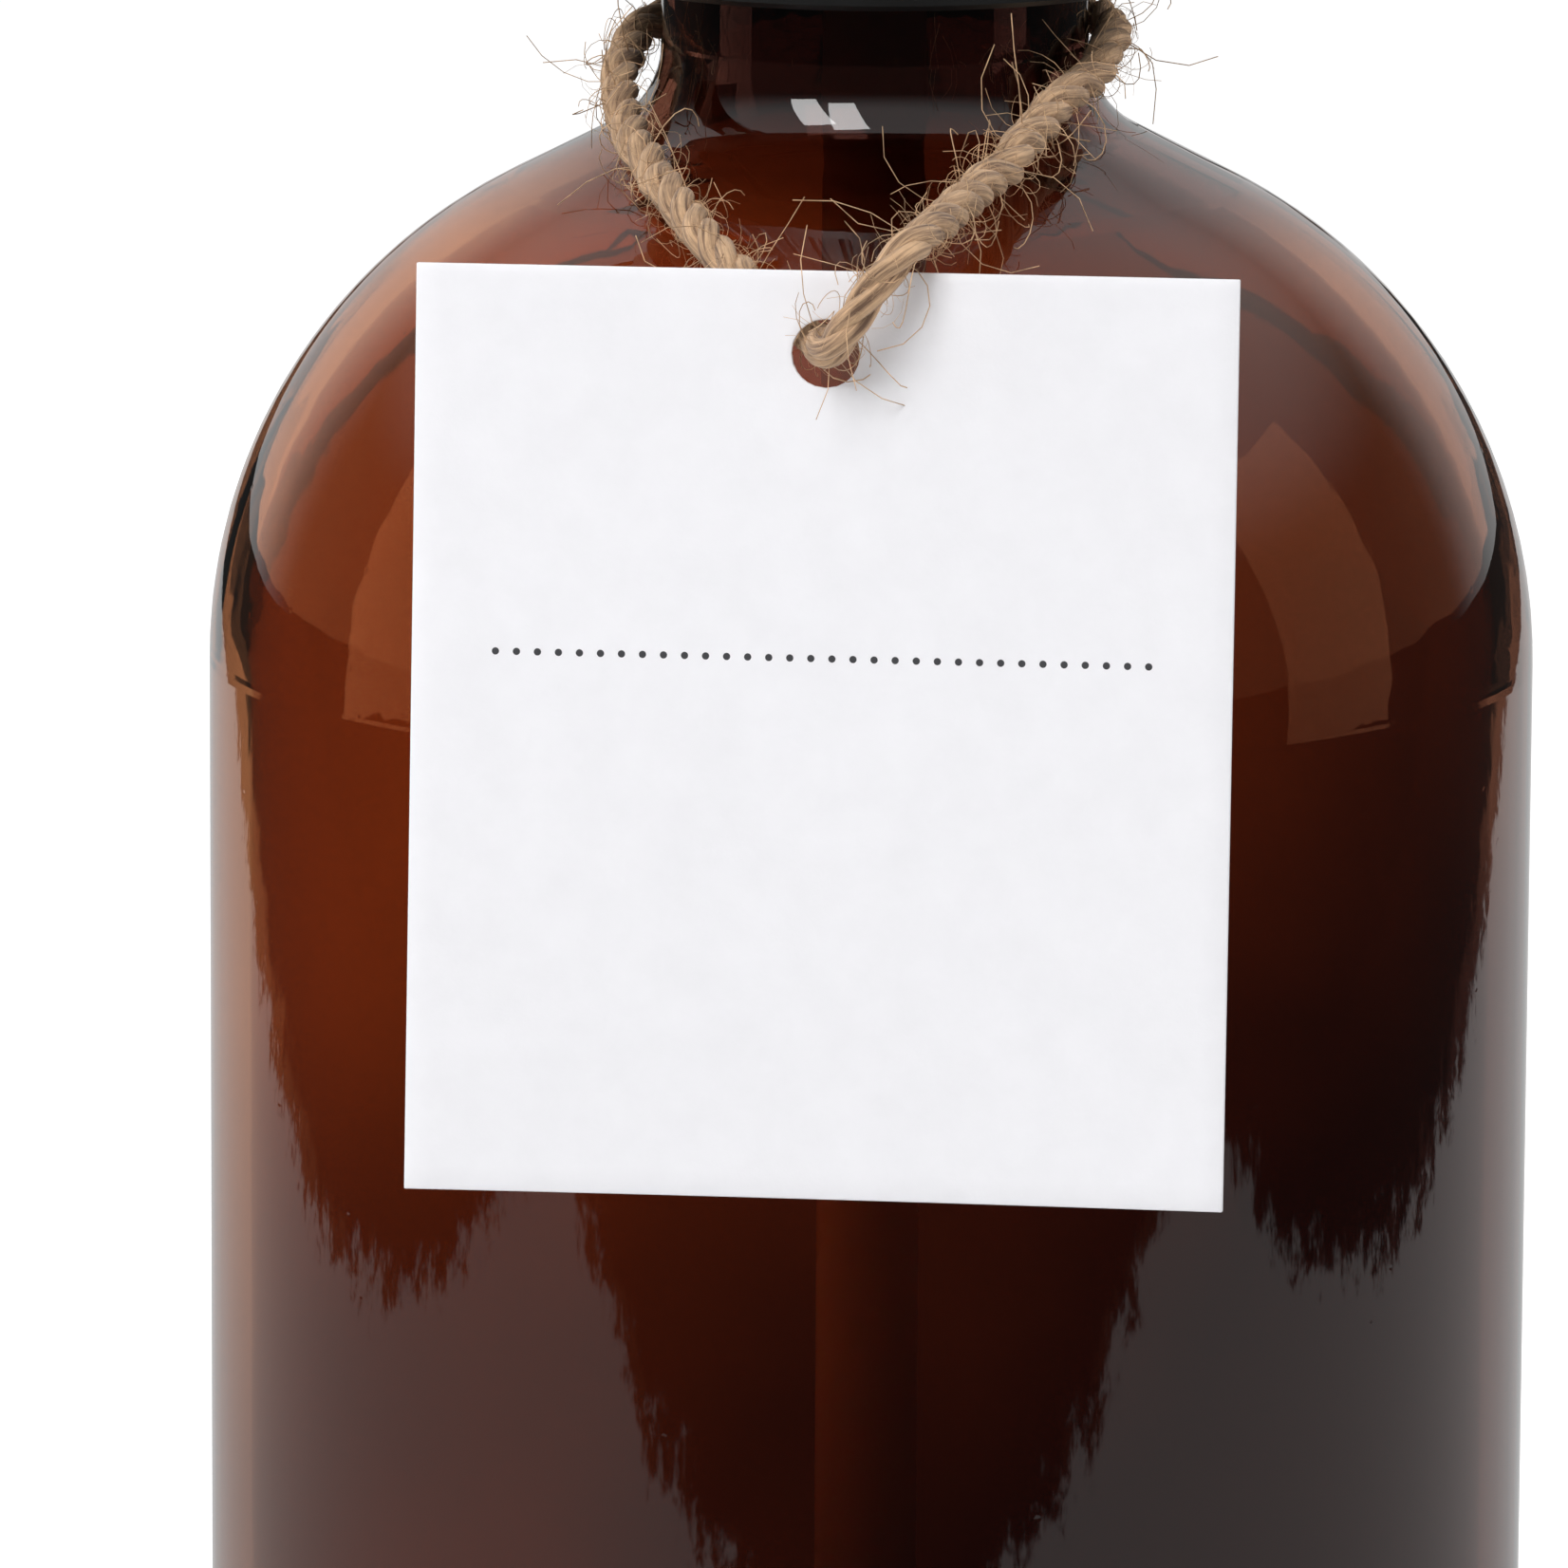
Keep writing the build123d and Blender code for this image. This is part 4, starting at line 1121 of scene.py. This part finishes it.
def table_mask(tree, settings):
    """1 on the pale table top with its ragged edge, 0 on the dark floor beyond it."""
    place = object_place(tree)
    split = split_xyz(tree, place)
    ragged = texture(tree, "Noise", "Fac", place, Scale=34.0, Detail=9.0, Roughness=0.8)
    wobble = math_node(tree, "MULTIPLY", math_node(tree, "SUBTRACT", ragged, 0.5), 0.16)
    along = math_node(tree, "ADD", split["Y"], wobble)
    across = math_node(tree, "ADD", split["X"], wobble)
    soft = 0.008
    front = ramp(tree, along, settings.table_front - soft, settings.table_front + soft)
    left = ramp(tree, across, settings.table_left - soft, settings.table_left + soft)
    right = ramp(tree, across, settings.table_right - soft, settings.table_right + soft, 1.0, 0.0)
    return math_node(tree, "MULTIPLY", front, math_node(tree, "MULTIPLY", left, right))


def white_floor(settings):
    """White to the camera, plain to the lamps, and a table with dark floor round it in reflections."""
    material, tree, shader = new_material("floor_white")
    set_inputs(
        shader, Base_Color=colour((0.82, 0.82, 0.82)), Roughness=0.9, Specular_IOR_Level=0.1,
        Emission_Color=colour((1, 1, 1)),
    )
    seen, mirrored = ray_kinds(tree)
    set_inputs(shader, Emission_Strength=math_node(tree, "MULTIPLY", seen, 0.7))
    glow = math_node(tree, "MULTIPLY", table_mask(tree, settings), settings.table_glow)
    dark_floor = 0.03
    table = wired(
        tree, "ShaderNodeEmission", "Emission", Strength=math_node(tree, "ADD", glow, dark_floor)
    )
    surface = choose(tree, mirrored, shader.outputs["BSDF"], table)
    set_inputs(tree.nodes["Material Output"], Surface=surface)
    return material


def white_room(settings):
    """White to the camera, even light, and in reflections a dark front under a pale ceiling."""
    world = bpy.data.worlds.new("room")
    world.use_nodes = True
    tree = world.node_tree
    white = colour((1, 1, 1))
    even = tree.nodes["Background"]
    set_inputs(even, Color=white, Strength=settings.world)
    split = split_xyz(tree, add_node(tree, "ShaderNodeTexCoord").outputs["Generated"])
    behind = ramp(tree, split["Y"], 0.5, 0.85, 0.03, 0.65)
    ceiling = ramp(tree, split["Z"], 0.35, 0.7, 0.03, settings.ceiling_glow)
    mirror = wired(
        tree, "ShaderNodeBackground", "Background",
        Color=white, Strength=math_node(tree, "MAXIMUM", behind, ceiling),
    )
    backdrop = wired(tree, "ShaderNodeBackground", "Background", Color=white, Strength=1.0)
    seen, mirrored = ray_kinds(tree)
    off_glass = choose(tree, mirrored, even.outputs["Background"], mirror)
    set_inputs(tree.nodes["World Output"], Surface=choose(tree, seen, off_glass, backdrop))
    return world


class SetStage(bpy.types.Operator):
    """Makes the floor, the room and the softboxes"""
    bl_idname = "spray_bottle.stage"
    bl_label = "Stage"

    def execute(self, context):
        settings = context.scene.spray_stage
        context.scene.view_settings.view_transform = "Standard"
        floor = mesh_object("floor", bpy.data.meshes.new("floor"))
        reach = 12.0
        corners = [(-reach, -reach, 0), (reach, -reach, 0), (reach, reach, 0), (-reach, reach, 0)]
        floor.data.from_pydata(corners, [], [(0, 1, 2, 3)])
        floor.data.materials.append(white_floor(settings))
        context.scene.world = white_room(settings)
        aim = (0, 0, 0.12)
        add_softbox("front_left_softbox", (-0.43, -0.5, 0.78), aim, 0.2, 0.5, settings.key)
        add_softbox("front_right_softbox", (-0.18, -0.5, 0.78), aim, 0.2, 0.5, settings.key)
        for name, place in (("left_softbox", (-0.7, 0.05, 0.3)), ("right_softbox", (0.7, 0.0, 0.3))):
            lamp = add_softbox(name, place, aim, 0.35, 0.6, settings.side)
            lamp.visible_glossy = False
        return {"FINISHED"}


STEPS = (
    PlaceCamera, MakeTwine, MakeTag, FinishBottle, FinishSprayer, FinishInnerParts, MakeRidges, SetStage,
)
SETTINGS = {
    "spray_camera": CameraSettings,
    "spray_twine": TwineSettings,
    "spray_tag": TagSettings,
    "spray_glass": GlassSettings,
    "spray_plastic": PlasticSettings,
    "spray_stage": StageSettings,
}


class SprayBottlePanel(bpy.types.Panel):
    """Lists the settings and the steps that make the spray bottle"""
    bl_idname = "VIEW3D_PT_spray_bottle"
    bl_label = "Spray bottle"
    bl_space_type = "VIEW_3D"
    bl_region_type = "UI"
    bl_category = "Spray bottle"

    def draw(self, context):
        for name, group in SETTINGS.items():
            box = self.layout.box()
            box.label(text=group.__doc__)
            for prop in group.__annotations__:
                box.prop(getattr(context.scene, name), prop)
        for step in STEPS:
            self.layout.operator(step.bl_idname)


def register():
    """Registers the settings, operators and panel."""
    for name, group in SETTINGS.items():
        bpy.utils.register_class(group)
        setattr(bpy.types.Scene, name, PointerProperty(type=group))
    for step in (*STEPS, SprayBottlePanel):
        bpy.utils.register_class(step)


def unregister():
    """Takes them away again."""
    for step in (*STEPS, SprayBottlePanel):
        bpy.utils.unregister_class(step)
    for name, group in SETTINGS.items():
        delattr(bpy.types.Scene, name)
        bpy.utils.unregister_class(group)


def main():
    """Makes every piece and the stage."""
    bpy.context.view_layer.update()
    register()
    bpy.ops.spray_bottle.camera()
    bpy.ops.spray_bottle.twine()
    bpy.ops.spray_bottle.tag()
    bpy.ops.spray_bottle.bottle()
    bpy.ops.spray_bottle.sprayer()
    bpy.ops.spray_bottle.inner_parts()
    bpy.ops.spray_bottle.ridges()
    bpy.ops.spray_bottle.stage()


if __name__ == "__main__":
    main()
